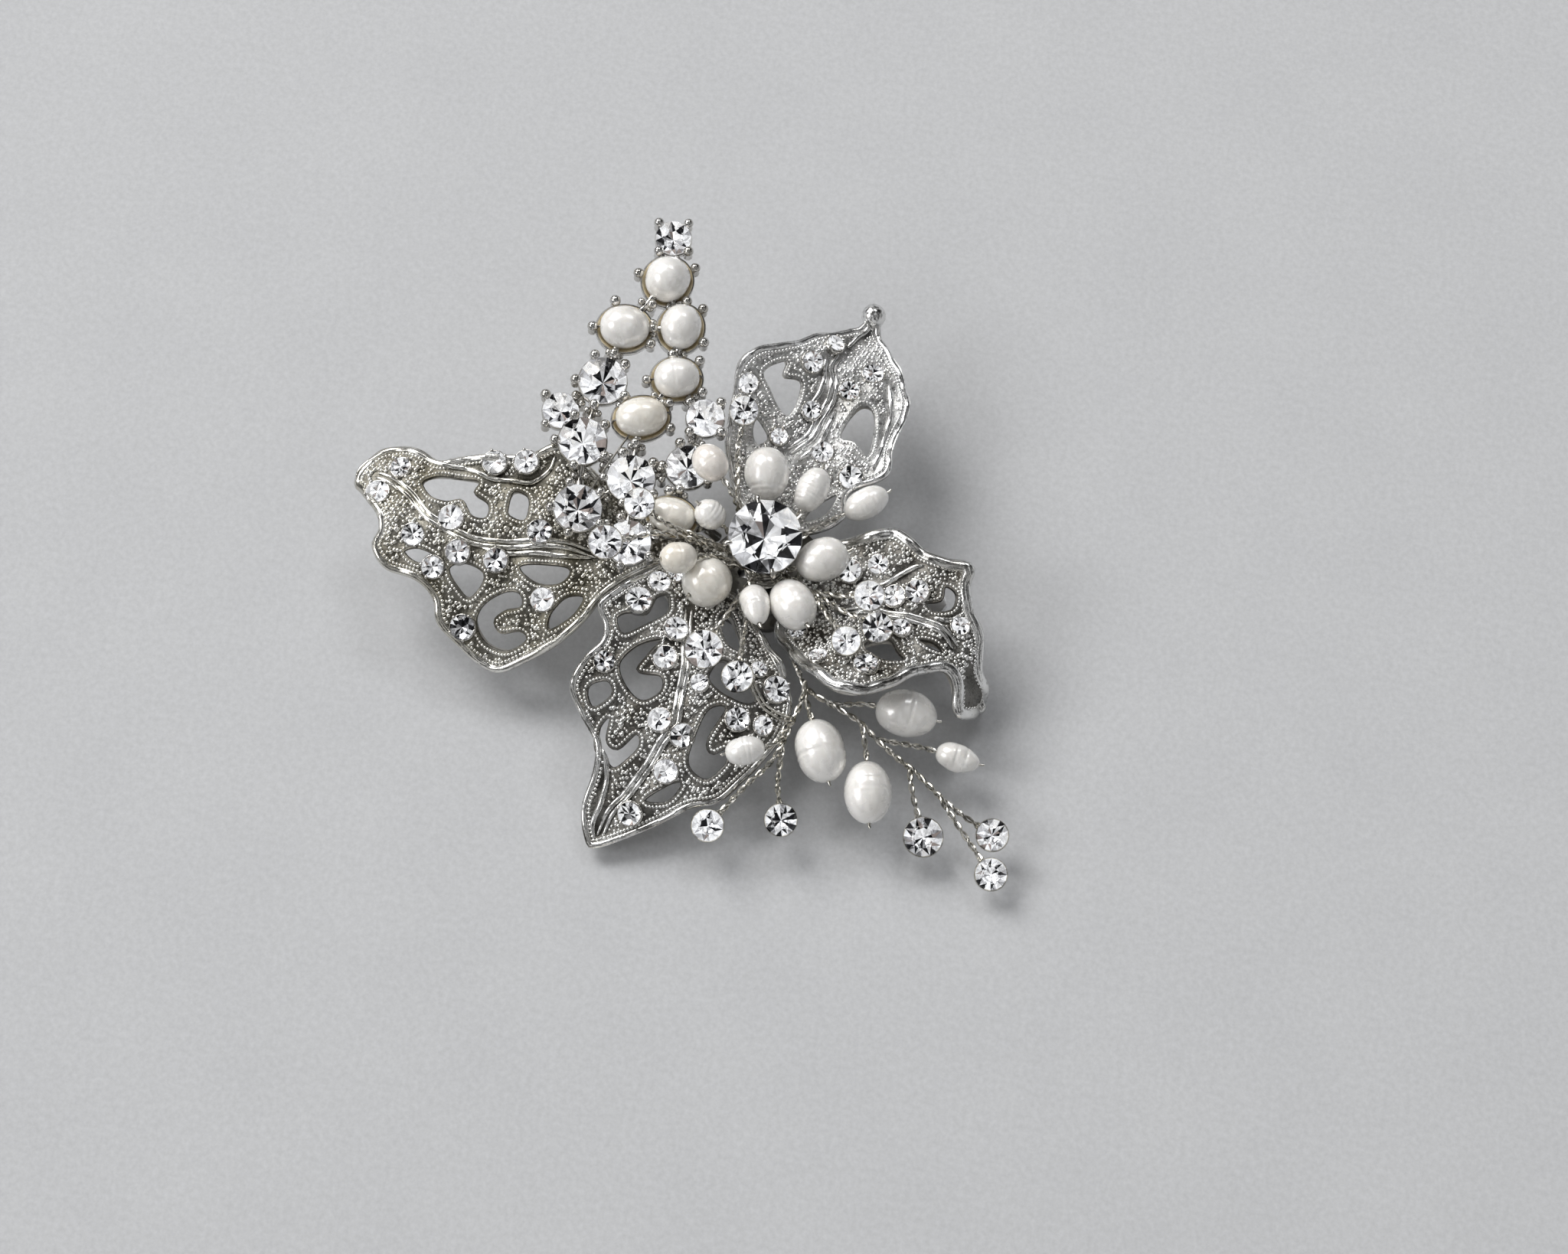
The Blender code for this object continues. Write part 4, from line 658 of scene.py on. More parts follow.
def node_points(name):
    """The different points of a CAD node's mesh, in millimetres."""
    found = np.array([v.co for v in frame["nodes"][name].data.vertices]) / MM
    return np.unique(np.round(found, 3), axis=0)


def main_axes(points):
    """The centre of the points, and their own axes, the shortest first."""
    centre = points.mean(axis=0)
    _, vectors = np.linalg.eigh(np.cov((points - centre).T))
    return centre, vectors.T


def from_axis(offset, axis):
    """The largest distance of the offsets from the line along the axis."""
    return np.linalg.norm(offset - np.outer(offset @ axis, axis), axis=1).max()


def stone_of(name):
    """The girdle's centre, the table's normal and the radius of a CAD crystal."""
    points = node_points(name)
    centre, axes = main_axes(points)
    heights = (points - centre) @ axes[0]
    tip = np.argmax(np.abs(heights))
    normal = -np.sign(heights[tip]) * axes[0]
    radius = from_axis(points - points[tip], normal)
    return points[tip] + normal * 2 * PAVILION_SHARE * radius, normal, radius


def pearl_of(name):
    """The centre, the drilled axis, the length and the width of a CAD pearl."""
    points = node_points(name)
    _, axes = main_axes(points)
    axis = axes[2]
    heights = points @ axis
    centre = points.mean(axis=0) + axis * ((heights.max() + heights.min()) / 2 - heights.mean())
    if axis @ (centre * LEVEL) < 0:
        axis = -axis
    return centre, axis, heights.max() - heights.min(), 2 * from_axis(points - centre, axis)


def node_names(part):
    """The names of the CAD nodes that have the part in them, in order."""
    return sorted(name for name in frame["nodes"] if part in name)


# ---------------------------------------------------------------- materials


class Look:
    """A material or a world, and short ways to build the nodes that feed its shader."""

    def __init__(self, owner, shader):
        owner.use_nodes = True
        self.tree = owner.node_tree
        self.shader = self.tree.nodes[shader]

    def node(self, kind, **values):
        """A new node with the given input values."""
        node = self.tree.nodes.new("ShaderNode" + kind)
        for key, value in values.items():
            node.inputs[key].default_value = value
        return node

    def feed(self, key, source, node=None):
        """Links the source to an input of the node, or of the shader."""
        self.tree.links.new(source, (node or self.shader).inputs[key])

    def noise(self, scale, detail=3.0, rough=0.5, distortion=0.0, place=None):
        """Noise over the piece, with scale in cycles to the metre, or over another place."""
        values = {"Scale": scale, "Detail": detail, "Roughness": rough, "Distortion": distortion}
        texture = self.node("TexNoise", **values)
        self.feed("Vector", place or self.node("TexCoord").outputs["Object"], texture)
        return texture.outputs["Fac"]

    def ramp(self, source, *stops):
        """The source mapped through stops, each a position and a grey or a colour."""
        node = self.node("ValToRGB")
        elements = node.color_ramp.elements
        while len(elements) < len(stops):
            elements.new(0.5)
        for element, (position, tone) in zip(elements, stops):
            element.position = position
            element.color = (*(tone if isinstance(tone, tuple) else (tone,) * 3), 1.0)
        self.feed("Fac", source, node)
        return node.outputs["Color"]

    def mix(self, share, first, second, kind="MIX"):
        """Two colours mixed. share is a number or a socket."""
        node = self.tree.nodes.new("ShaderNodeMix")
        node.data_type = "RGBA"
        node.blend_type = kind
        for key, value in (("Factor", share), ("A", first), ("B", second)):
            if isinstance(value, tuple):
                node.inputs[key].default_value = (*value, 1.0)
            elif isinstance(value, float):
                node.inputs[key].default_value = value
            else:
                self.feed(key, value, node)
        return node.outputs["Result"]

    def bump(self, source, depth, strength=1.0):
        """Bump on the shader, with depth in millimetres."""
        node = self.node("Bump", Strength=strength, Distance=depth * MM)
        self.feed("Height", source, node)
        self.feed("Normal", node.outputs["Normal"])


def new_material(name, values):
    """The Look of a new Principled material, which MATERIALS keeps under its name."""
    MATERIALS[name] = bpy.data.materials.new(name)
    look = Look(MATERIALS[name], "Principled BSDF")
    for key, value in values.items():
        look.shader.inputs[key].default_value = value
    return look


def silver(name, bright, tarnish, dark, rough, grain_depth):
    """Plated cast metal: patchy tone, hollows darkened as antique patina and as painted shade, worn
    bright edges and a fine grain.
    """
    look = new_material(name, {"Metallic": 1.0})
    patches = look.ramp(look.noise(190.0, 4.0), (0.42, 0.0), (0.68, 1.0))
    # Concave places darken: partly the antique patina, partly painted shade of the recesses.
    patina_and_painted_shade = look.ramp(look.node("NewGeometry").outputs["Pointiness"], (0.44, 1.0), (0.51, 0.0))
    specks = look.ramp(look.noise(1500.0, 2.0), (0.56, 0.0), (0.7, 0.55))
    tone = look.mix(patina_and_painted_shade, look.mix(patches, bright, tarnish), dark)
    look.feed("Base Color", look.mix(specks, tone, dark))
    grain = look.noise(3200.0, 3.0, 0.6)
    look.feed("Roughness", look.ramp(grain, (0.3, rough * 0.7), (0.75, rough * 1.5)))
    look.bump(grain, grain_depth)


def steel(name, colour, rough, stretch):
    """Rolled steel: fine lines along the strip and a few rubbed patches."""
    look = new_material(name, {"Metallic": 1.0, "Roughness": rough})
    mapping = look.node("Mapping", Scale=stretch)
    look.feed("Vector", look.node("TexCoord").outputs["Object"], mapping)
    lines = look.noise(900.0, 4.0, place=mapping.outputs["Vector"])
    dull = tuple(0.72 * part for part in colour)
    look.feed("Base Color", look.ramp(look.noise(260.0), (0.4, colour), (0.7, dull)))
    look.feed("Roughness", look.ramp(lines, (0.3, rough * 0.8), (0.7, rough * 1.4)))
    look.bump(lines, 0.01)


def pearl(name, body, shade, blush):
    """Freshwater nacre: a cloudy body colour with a few deeper veils, and a soft coat."""
    look = new_material(
        name,
        {
            "Metallic": 0.08, "Roughness": 0.3, "Specular IOR Level": 0.8,
            "Coat Weight": 1.0, "Coat Roughness": 0.2, "Coat IOR": 1.7,
            "Subsurface Weight": 0.05, "Subsurface Radius": (1.0, 0.8, 0.6),
            "Subsurface Scale": 0.0008,
        },
    )
    clouds = look.ramp(look.noise(240.0, 3.0, 0.5, 0.6), (0.36, shade), (0.6, body))
    veils = look.ramp(look.noise(130.0, 2.0, 0.5, 0.6), (0.46, 0.0), (0.74, 0.35))
    look.feed("Base Color", look.mix(veils, clouds, blush))
    wrinkles = look.noise(700.0, 4.0, 0.5, 0.4)
    look.feed("Roughness", look.ramp(wrinkles, (0.3, 0.2), (0.75, 0.36)))
    look.bump(wrinkles, 0.025, 0.3)


def foil(name, colour, rough, metallic, painted_glow):
    """The backing of a stone as it shows through the crown: its colour is a painted reflection with
    slight mottling, and its emission is a painted glow.
    """
    # The emission here is a painted glow and the base colour a painted reflection of the stone's
    # sparkle.
    values = {"Metallic": metallic, "Roughness": rough, "Emission Strength": painted_glow}
    look = new_material(name, {**values, "Emission Color": (0.97, 0.98, 1.0, 1.0)})
    pale = tuple(min(1.0, 1.12 * part) for part in colour)
    look.feed("Base Color", look.ramp(look.noise(1100.0, 2.0), (0.35, colour), (0.65, pale)))


def crown_glass(name):
    """The stone's clear crown. Its facets are faintly worn."""
    values = {"Base Color": (1.0, 1.0, 1.0, 1.0), "Transmission Weight": 1.0, "IOR": 1.38}
    look = new_material(name, values)
    look.feed("Roughness", look.ramp(look.noise(700.0, 4.0), (0.5, 0.0), (0.8, 0.04)))


def painted_pearl_reflection(name):
    """The lining of the pearls' settings, coloured with mottling as a painted reflection of the
    pearls' warm cream in the metal.
    """
    look = new_material(name, {"Specular IOR Level": 0.5})
    stops = (0.3, (0.50, 0.40, 0.23)), (0.6, (0.86, 0.76, 0.55))
    look.feed("Base Color", look.ramp(look.noise(700.0, 4.0), *stops))
    look.feed("Roughness", look.ramp(look.noise(1500.0), (0.3, 0.25), (0.7, 0.5)))


# name, bright tone, tarnished tone, dark tone of specks and hollows (patina and painted shade),
# roughness, depth of the grain in millimetres
SILVERS = (
    ("cast_ground", (0.22, 0.215, 0.20), (0.11, 0.10, 0.085), (0.02, 0.019, 0.017), 0.3, 0.14),
    ("warm_ground", (0.24, 0.23, 0.20), (0.12, 0.11, 0.08), (0.02, 0.019, 0.015), 0.3, 0.14),
    ("pale_ground", (0.74, 0.74, 0.73), (0.42, 0.415, 0.40), (0.05, 0.049, 0.047), 0.3, 0.14),
    ("bright_silver", (0.92, 0.92, 0.91), (0.66, 0.65, 0.61), (0.12, 0.115, 0.10), 0.12, 0.012),
    ("warm_silver", (0.92, 0.91, 0.87), (0.66, 0.635, 0.56), (0.12, 0.115, 0.095), 0.12, 0.012),
    ("pale_silver", (0.95, 0.95, 0.95), (0.78, 0.775, 0.76), (0.14, 0.135, 0.13), 0.12, 0.012),
    ("rubbed_rim", (0.82, 0.82, 0.81), (0.56, 0.55, 0.52), (0.10, 0.095, 0.09), 0.17, 0.02),
    ("warm_rim", (0.82, 0.81, 0.77), (0.56, 0.54, 0.47), (0.10, 0.095, 0.08), 0.17, 0.02),
    ("pale_rim", (0.88, 0.88, 0.88), (0.68, 0.675, 0.66), (0.12, 0.115, 0.11), 0.17, 0.02),
    ("cast_back", (0.62, 0.61, 0.58), (0.48, 0.45, 0.39), (0.16, 0.15, 0.13), 0.36, 0.04),
    ("polished_setting", (0.66, 0.65, 0.63), (0.52, 0.50, 0.46), (0.08, 0.075, 0.07), 0.12, 0.006),
    ("twisted_wire", (0.76, 0.74, 0.69), (0.52, 0.50, 0.44), (0.08, 0.075, 0.065), 0.18, 0.008),
    ("tie_wire", (0.26, 0.25, 0.23), (0.17, 0.155, 0.13), (0.04, 0.04, 0.035), 0.3, 0.006),
    ("blackened_plate", (0.17, 0.165, 0.15), (0.1, 0.095, 0.085), (0.03, 0.03, 0.03), 0.45, 0.03),
)
# name, body colour, its shade, the veils' colour
PEARLS = (
    ("pearl_white", (1.0, 0.985, 0.955), (0.97, 0.95, 0.91), (0.86, 0.81, 0.73)),
    ("pearl_cream", (1.0, 0.975, 0.905), (0.98, 0.935, 0.85), (0.90, 0.81, 0.66)),
    ("pearl_peach", (1.0, 0.945, 0.88), (0.96, 0.885, 0.81), (0.86, 0.75, 0.67)),
)
# name, colour (a painted reflection), roughness, metallic share, glow (a painted glow)
FOILS = (
    ("foil_painted_glint", (0.92, 0.93, 0.95), 0.14, 1.0, 0.42),
    ("foil_painted_pale_reflection", (0.60, 0.60, 0.62), 0.1, 1.0, 0.12),
    ("foil_painted_dark_reflection", (0.03, 0.03, 0.034), 0.1, 1.0, 0.0),
    ("foil_painted_warm_reflection", (0.42, 0.35, 0.32), 0.2, 0.3, 0.02),
)
STONE_MATERIALS = ("crystal_crown", *(row[0] for row in FOILS))


def make_materials():
    for make, rows in ((silver, SILVERS), (pearl, PEARLS), (foil, FOILS)):
        for row in rows:
            make(*row)
    crown_glass("crystal_crown")
    # The pearls' seats carry a painted reflection of the pearls.
    painted_pearl_reflection("warm_seat")
    steel("rolled_steel", (0.60, 0.60, 0.61), 0.3, (0.08, 1.0, 1.0))
    steel("spring_wire", (0.42, 0.42, 0.43), 0.32, (1.0, 1.0, 1.0))


# ---------------------------------------------------------------- leaves

# The sheet's faces lie TOP over and BOTTOM under its middle.
TOP, BOTTOM = 0.5, -0.45
SHEET_GRID = 0.75
OUTLINE_STEP, OPENING_STEP, RIB_STEP = 0.55, 0.5, 0.4

# The upper face's relief, as (height, reach): raised edges, sunk ribs and a slow wave.
EDGE_RELIEF = (0.22, 0.8)
RIB_RELIEF = (-0.28, 1.2)
WAVE_HEIGHT = 0.36

# Grains stand GRAIN_PITCH apart, shifted and tilted at random, and clear of edges and ribs.
GRAIN_PITCH, GRAIN_SHIFT, GRAIN_TILT = 0.55, 0.16, 0.28
GRAIN_SIZES = (0.17, 0.38)
GRAIN_LOSS = 0.1
GRAIN_CLEAR = 0.78
GRAIN_CLEAR_OUTLINE = 1.2

# Rows of beads, as (distance inside the loop, bead size, pitch).
OUTLINE_ROW = (0.92, 0.27, 0.47)
OPENING_ROW = (-0.36, 0.23, 0.44)

# The rolled rim, the lips of the openings and the ribs: where their middles run over the upper
# face, how thick they are and how flat.
RIM_INSET, RIM_RISE, RIM_SQUASH = 0.3, -0.28, 0.85
LIP_INSET, LIP_RISE, LIP_RADIUS = -0.2, -0.32, 0.36
RIB_RISE, RIB_RADIUS, RIB_SQUASH = 0.12, 0.4, 0.8
MAIN_RIB_LINES = (-0.36, 0.36)

LEAF_STONE_RISE, LEAF_STONE_TILT, LEAF_STONE_DEPTH = 0.62, 0.08, 0.3
# Bounds of the share of a leaf stone's back facets painted with a dark reflection.
LEAF_PAINTED_DARK_BOUNDS = (0.08, 0.36)
# A collar's profile, as (reach past the stone's radius, height), and its little claws.
COLLAR_PROFILE = ((0.02, -0.08), (0.16, -0.14), (0.3, -1.2), (-0.3, -1.2))
COLLAR_CLAWS, COLLAR_CLAW_SIZE = 5, 0.24


def leaf_point(leaf, plan):
    """The middle of the leaf's sheet at (along, across) points."""
    along, across = plan[:, 0], plan[:, 1]
    left, right = (interpolate(leaf[side], along) for side in ("left", "right"))
    lift = (np.abs(across) / LIFT_REACH) ** LIFT_POWER
    z = interpolate(leaf["rib"], along) + np.where(across > 0, left, right) * lift
    reach = along
    if "curl" in leaf:
        start, radius = leaf["curl"]
        angle = np.maximum(along - start, 0) / radius
        reach = np.minimum(along, start) + radius * np.sin(angle)
        z = z - radius * (1 - np.cos(angle))
    heading = math.radians(leaf["heading"])
    x = leaf["base"][0] + math.cos(heading) * reach - math.sin(heading) * across
    y = leaf["base"][1] + math.sin(heading) * reach + math.cos(heading) * across
    return turned_out(np.stack([x, y, z], axis=1))


def leaf_normal(leaf, plan):
    step = 0.05
    along, across = np.array((step, 0)), np.array((0, step))
    first = leaf_point(leaf, plan + along) - leaf_point(leaf, plan - along)
    second = leaf_point(leaf, plan + across) - leaf_point(leaf, plan - across)
    return unit(np.cross(first, second))


def relief_of(distances, relief):
    height, reach = relief
    return height * np.exp(-((distances / reach) ** 2))


class Leaf:
    """One cast leaf: its outline, openings and ribs, and the relief of its upper face."""

    def __init__(self, design):
        self.design = design
        self.outline = even(smooth(design["outline"], 12, closed=True), OUTLINE_STEP, closed=True)
        self.openings = [
            even(smooth(opening, 10, closed=True), OPENING_STEP, closed=True)
            for opening in design["openings"]
        ]
        self.loops = [self.outline, *self.openings]
        self.ribs = [even(smooth(rib, 8), RIB_STEP) for rib in design["ribs"]]
        self.stones = np.array(design["stones"], float)

    def edge_distance(self, plan):
        return np.min([distance(plan, loop, closed=True) for loop in self.loops], axis=0)

    def rib_distance(self, plan):
        return np.min([distance(plan, rib) for rib in self.ribs], axis=0)

    def grid(self, pitch):
        """A triangular grid over the outline's box."""
        low, high = self.outline.min(0), self.outline.max(0)
        rise = 0.87 * pitch
        columns, rows = ((high - low) / (pitch, rise)).astype(int) + 2
        i, j = np.meshgrid(np.arange(columns), np.arange(rows), indexing="ij")
        x, y = low[0] + (i + 0.5 * (j % 2)) * pitch, low[1] + j * rise
        return np.stack([x, y], axis=-1).reshape(-1, 2)

    def holds(self, plan):
        """A mask of the plan points that lie on metal."""
        on = inside(plan, self.outline)
        for opening in self.openings:
            on &= ~inside(plan, opening)
        return on

    def clear_of_stones(self, plan, gap):
        """A mask of the plan points that lie farther than the gap from every stone."""
        offset = np.linalg.norm(plan[:, None] - self.stones[None, :, :2], axis=-1)
        return (offset > self.stones[:, 2] + gap).all(axis=1)

    def relief(self, plan):
        """The height of the upper face's relief over the plain sheet."""
        x, y = plan[:, 0], plan[:, 1]
        height = relief_of(self.edge_distance(plan), EDGE_RELIEF)
        height += relief_of(self.rib_distance(plan), RIB_RELIEF)
        wave = np.sin(0.9 * x + 0.6 * y) * np.sin(0.8 * y - 0.45 * x + 1.0)
        return height + WAVE_HEIGHT * wave

    def upper(self, plan, rise=0.0):
        """Points on the upper face, raised by rise, and the normals there."""
        normal = leaf_normal(self.design, plan)
        height = TOP + self.relief(plan) + rise
        return leaf_point(self.design, plan) + normal * height[:, None], normal


def leaf_sheet(leaf):
    """The openwork sheet, its upper face in slot 0 and its back and edges in slot 1."""
    edges, first = [], 0
    for loop in leaf.loops:
        edges.extend((first + k, first + (k + 1) % len(loop)) for k in range(len(loop)))
        first += len(loop)
    grid = leaf.grid(SHEET_GRID)
    grid = grid[leaf.holds(grid)]
    grid = grid[leaf.edge_distance(grid) > 0.5 * SHEET_GRID]
    flat = [Vector(point) for point in np.vstack([*leaf.loops, grid])]
    verts, _, faces, *_ = delaunay_2d_cdt(flat, edges, [], 0, 1e-6)
    plan = np.array([tuple(v) for v in verts])
    triangles = np.array([face for face in faces if len(face) == 3])
    triangles = triangles[leaf.holds(plan[triangles].mean(axis=1))]
    used, triangles = np.unique(triangles, return_inverse=True)
    plan, triangles = plan[used], triangles.reshape(-1, 3)
    above, normal = leaf.upper(plan)
    below = leaf_point(leaf.design, plan) + normal * BOTTOM
    count = len(plan)
    half_edges = {(a, b) for t in triangles for a, b in zip(t, np.roll(t, -1))}
    open_edges = sorted((a, b) for a, b in half_edges if (b, a) not in half_edges)
    walls = np.array([(b, a, a + count, b + count) for a, b in open_edges])
    shape = Shape()
    groups = [triangles, triangles[:, ::-1] + count, walls]
    shape.add(np.vstack([above, below]), groups, (0, 1, 1))
    return shape


def bead_row(shape, leaf, loop, row):
    """A row of small beads that follows a loop."""
    offset, size, pitch = row
    plan = even(shifted(loop, offset), pitch, closed=True)
    clear = leaf.holds(plan) & (leaf.edge_distance(plan) > abs(offset) - 0.18)
    clear &= leaf.clear_of_stones(plan, 0.1)
    points, normal = leaf.upper(plan[clear])
    scatter(shape, BEAD, points, normal, size)


def leaf_beading(leaf):
    """The grained ground and the milgrain rows along the rims and openings."""
    shape = Shape()
    grid = leaf.grid(GRAIN_PITCH)
    grid = grid + RANDOM.uniform(-GRAIN_SHIFT, GRAIN_SHIFT, grid.shape)
    keep = leaf.holds(grid) & (leaf.edge_distance(grid) > GRAIN_CLEAR)
    keep &= RANDOM.random(len(grid)) > GRAIN_LOSS
    keep &= distance(grid, leaf.outline, closed=True) > GRAIN_CLEAR_OUTLINE
    keep &= (leaf.rib_distance(grid) > GRAIN_CLEAR) & leaf.clear_of_stones(grid, 0.22)
    if "bare" in leaf.design:
        along, across = leaf.design["bare"]
        keep &= ~((grid[:, 0] > along) & (grid[:, 1] < across))
    points, normal = leaf.upper(grid[keep])
    normal = unit(normal + RANDOM.normal(0, GRAIN_TILT, normal.shape))
    scatter(shape, BEAD, points, normal, RANDOM.uniform(*GRAIN_SIZES, len(points)))
    bead_row(shape, leaf, leaf.outline, OUTLINE_ROW)
    for opening in leaf.openings:
        bead_row(shape, leaf, opening, OPENING_ROW)
    return shape


def leaf_rims(leaf):
    """The smooth rim and ribs in slot 0, and the grained lips of the openings in slot 1."""
    shape = Shape()
    points, normal = leaf.upper(shifted(leaf.outline, RIM_INSET), RIM_RISE)
    sweep(shape, points, leaf.design["rim"], 10, normal, closed=True, squash=RIM_SQUASH)
    for opening in leaf.openings:
        points, normal = leaf.upper(shifted(opening, LIP_INSET), LIP_RISE)
        sweep(shape, points, LIP_RADIUS, 8, normal, closed=True, slot=1)
    for number, rib in enumerate(leaf.ribs):
        along = unit(np.gradient(rib, axis=0))
        across = np.stack([-along[:, 1], along[:, 0]], axis=1)
        for offset in MAIN_RIB_LINES if number == 0 else (0.0,):
            points, normal = leaf.upper(rib + across * offset, RIB_RISE)
            radii = tapered(len(points), RIB_RADIUS)
            sweep(shape, points, radii, 8, normal, squash=RIB_SQUASH)
    if "knob" in leaf.design:
        *place, size = leaf.design["knob"]
        points, normal = leaf.upper(np.array([place]), 0.1)
        scatter(shape, BALL, points, normal, size)
    return shape


def ring_for(radius, profile, sides):
    """A ring round a stone, from a profile of (reach past the stone's radius, height)."""
    return lathe([(radius + reach, height) for reach, height in profile], sides, ring=True)


def leaf_stones(leaf):
    """The small stones set in the leaf, and their collars with little claws."""
    stones, settings = Shape(), Shape()
    points, normals = leaf.upper(leaf.stones[:, :2], LEAF_STONE_RISE)
    for centre, normal, radius in zip(points, normals, leaf.stones[:, 2]):
        tilt = unit(normal + RANDOM.normal(0, LEAF_STONE_TILT, 3))
        add_stone(stones, centre, tilt, radius, LEAF_PAINTED_DARK_BOUNDS, LEAF_STONE_DEPTH)
        side, other, up = axes_of(tilt)
        put(settings, ring_for(radius, COLLAR_PROFILE, 28), (centre, side, other, up))
        angles = math.tau * (np.arange(COLLAR_CLAWS) + RANDOM.random()) / COLLAR_CLAWS
        claws = centre + around(angles, side, other) * (radius + 0.1) + up * 0.02
        scatter(settings, BALL, claws, up, COLLAR_CLAW_SIZE)
    return stones, settings


def make_leaves():
    for name, design in LEAVES.items():
        leaf = Leaf(design)
        ground, bright, rim = design["metals"]
        metals = (ground, "cast_back")
        make_piece(name + "_sheet", leaf_sheet(leaf), metals, (name,), 50)
        make_piece(name + "_beading", leaf_beading(leaf), (bright,))
        make_piece(name + "_rims", leaf_rims(leaf), (rim, ground))
        stones, settings = leaf_stones(leaf)
        make_piece(name + "_settings", settings, ("polished_setting",))
        make_piece(name + "_stones", stones, STONE_MATERIALS, sharp=1)


# ---------------------------------------------------------------- stones and pearls


def even_rings(first, last, gap, depth, width):
    """Growth rings of one kind, with the gap between them."""
    count = round((last - first) / gap) + 1
    return tuple((round(first + gap * k, 2), depth, width) for k in range(count))


# name: rings as (place along the length from -1 to 1, depth, width), taper, lumps
PEARL_SHAPES = {
    "spray_pearl_1": (((0.05, 0.16, 0.05), (0.2, 0.1, 0.04), (-0.12, 0.06, 0.04)), 0.02, 0.06),
    "spray_pearl_2": (((-0.35, 0.1, 0.03), (-0.05, 0.08, 0.03), (0.1, 0.05, 0.03)), 0.0, 0.03),
    "spray_pearl_3": (((0.12, 0.14, 0.05), (-0.06, 0.07, 0.05)), -0.04, 0.1),
    "spray_pearl_4": (((-0.1, 0.12, 0.06), (0.3, 0.1, 0.06)), -0.12, 0.1),
    "spray_pearl_5": (((-0.25, 0.1, 0.05), (0.05, 0.1, 0.04), (0.3, 0.08, 0.04)), 0.05, 0.06),
    "centre_pearl_1": (((-0.2, 0.1, 0.06), (0.1, 0.1, 0.06), (0.4, 0.06, 0.05)), 0.0, 0.08),
    "centre_pearl_2": (((0.0, 0.05, 0.03),), 0.0, 0.03),
    "centre_pearl_5": (((-0.55, 0.14, 0.06), (-0.7, 0.08, 0.04)), 0.06, 0.04),
    "centre_pearl_6": (even_rings(-0.6, 0.52, 0.16, 0.09, 0.035), 0.0, 0.03),
    "centre_pearl_7": (even_rings(-0.3, 0.3, 0.2, 0.05, 0.04), 0.03, 0.05),
    "centre_pearl_8": (((0.15, 0.1, 0.02),), 0.05, 0.04),
    "centre_pearl_9": (((0.2, 0.05, 0.1),), 0.03, 0.05),
    "centre_pearl_10": (((-0.15, 0.08, 0.05), (0.15, 0.08, 0.05)), -0.2, 0.08),
}
PLAIN_PEARL = (((0.1, 0.05, 0.05),), 0.02, 0.05)
# Every pearl that isn't white.
PEARL_TINTS = {
    "cluster_pearl_5": "pearl_cream",
    "cluster_pearl_6": "pearl_cream",
    "centre_pearl_2": "pearl_peach",
    "centre_pearl_3": "pearl_cream",
    "centre_pearl_4": "pearl_cream",
}
PEARL_ROWS = PEARL_SIDES = 56
BORE_RADIUS, BORE_DEPTH = 0.32, 1.2
# Bounds of the share of back facets painted with a dark reflection, for the other crystals and for
# the centre crystal.
PAINTED_DARK_BOUNDS, CENTRE_PAINTED_DARK_BOUNDS = (0.1, 0.36), (0.18, 0.24)


def make_pearl(name):
    """A drilled freshwater pearl, with growth rings and slight lumps."""
    centre, axis, length, width = pearl_of(name)
    rings, taper, lumps = PEARL_SHAPES.get(name, PLAIN_PEARL)
    start = math.asin(BORE_RADIUS / (width / 2))
    bend = np.linspace(start, math.pi - start, PEARL_ROWS + 1)
    place = np.cos(bend)
    profile = np.sin(bend) ** 0.94 * width / 2 * (1 + taper * place)
    angle = circle(PEARL_SIDES)
    seeds = RANDOM.uniform(0, math.tau, 6)
    radius = np.repeat(profile[:, None], PEARL_SIDES, axis=1)
    for number, (at, depth, breadth) in enumerate(rings):
        drift = at + 0.03 * np.sin(angle + seeds[number % 6])
        share = 0.6 + 0.4 * np.sin(angle * 2 + seeds[(number + 2) % 6])
        radius -= depth * share * np.exp(-(((place[:, None] - drift) / breadth) ** 2))
    for number in range(3):
        turn = (number + 1) * angle[None] + 2.2 * (number + 1) * place[:, None]
        wave = np.sin(turn + seeds[number])
        radius += lumps * wave * np.sin(bend)[:, None] / (number + 1.5)
    radius[0], radius[-1] = BORE_RADIUS, BORE_RADIUS
    side, other, up = axes_of(axis)
    spread = around(angle[None], side, other)
    points = centre + radius[..., None] * spread + (length / 2 * place)[:, None, None] * up
    floors = (end * (length / 2 - BORE_DEPTH) * up for end in (1, -1))
    top, bottom = (centre + BORE_RADIUS * spread[0] + floor for floor in floors)
    shape = Shape()
    add_tube(shape, np.concatenate([[top], points, [bottom]]))
    nacre = PEARL_TINTS.get(name, "pearl_white")
    make_piece(name + "_nacre", shape, (nacre,), (name,), sharp=70)


def make_crystal(name):
    shares = CENTRE_PAINTED_DARK_BOUNDS if name == "centre_crystal" else PAINTED_DARK_BOUNDS
    shape = Shape()
    add_stone(shape, *stone_of(name), shares)
    make_piece(name + "_cut", shape, STONE_MATERIALS, (name,), sharp=1)


# ---------------------------------------------------------------- cluster frame

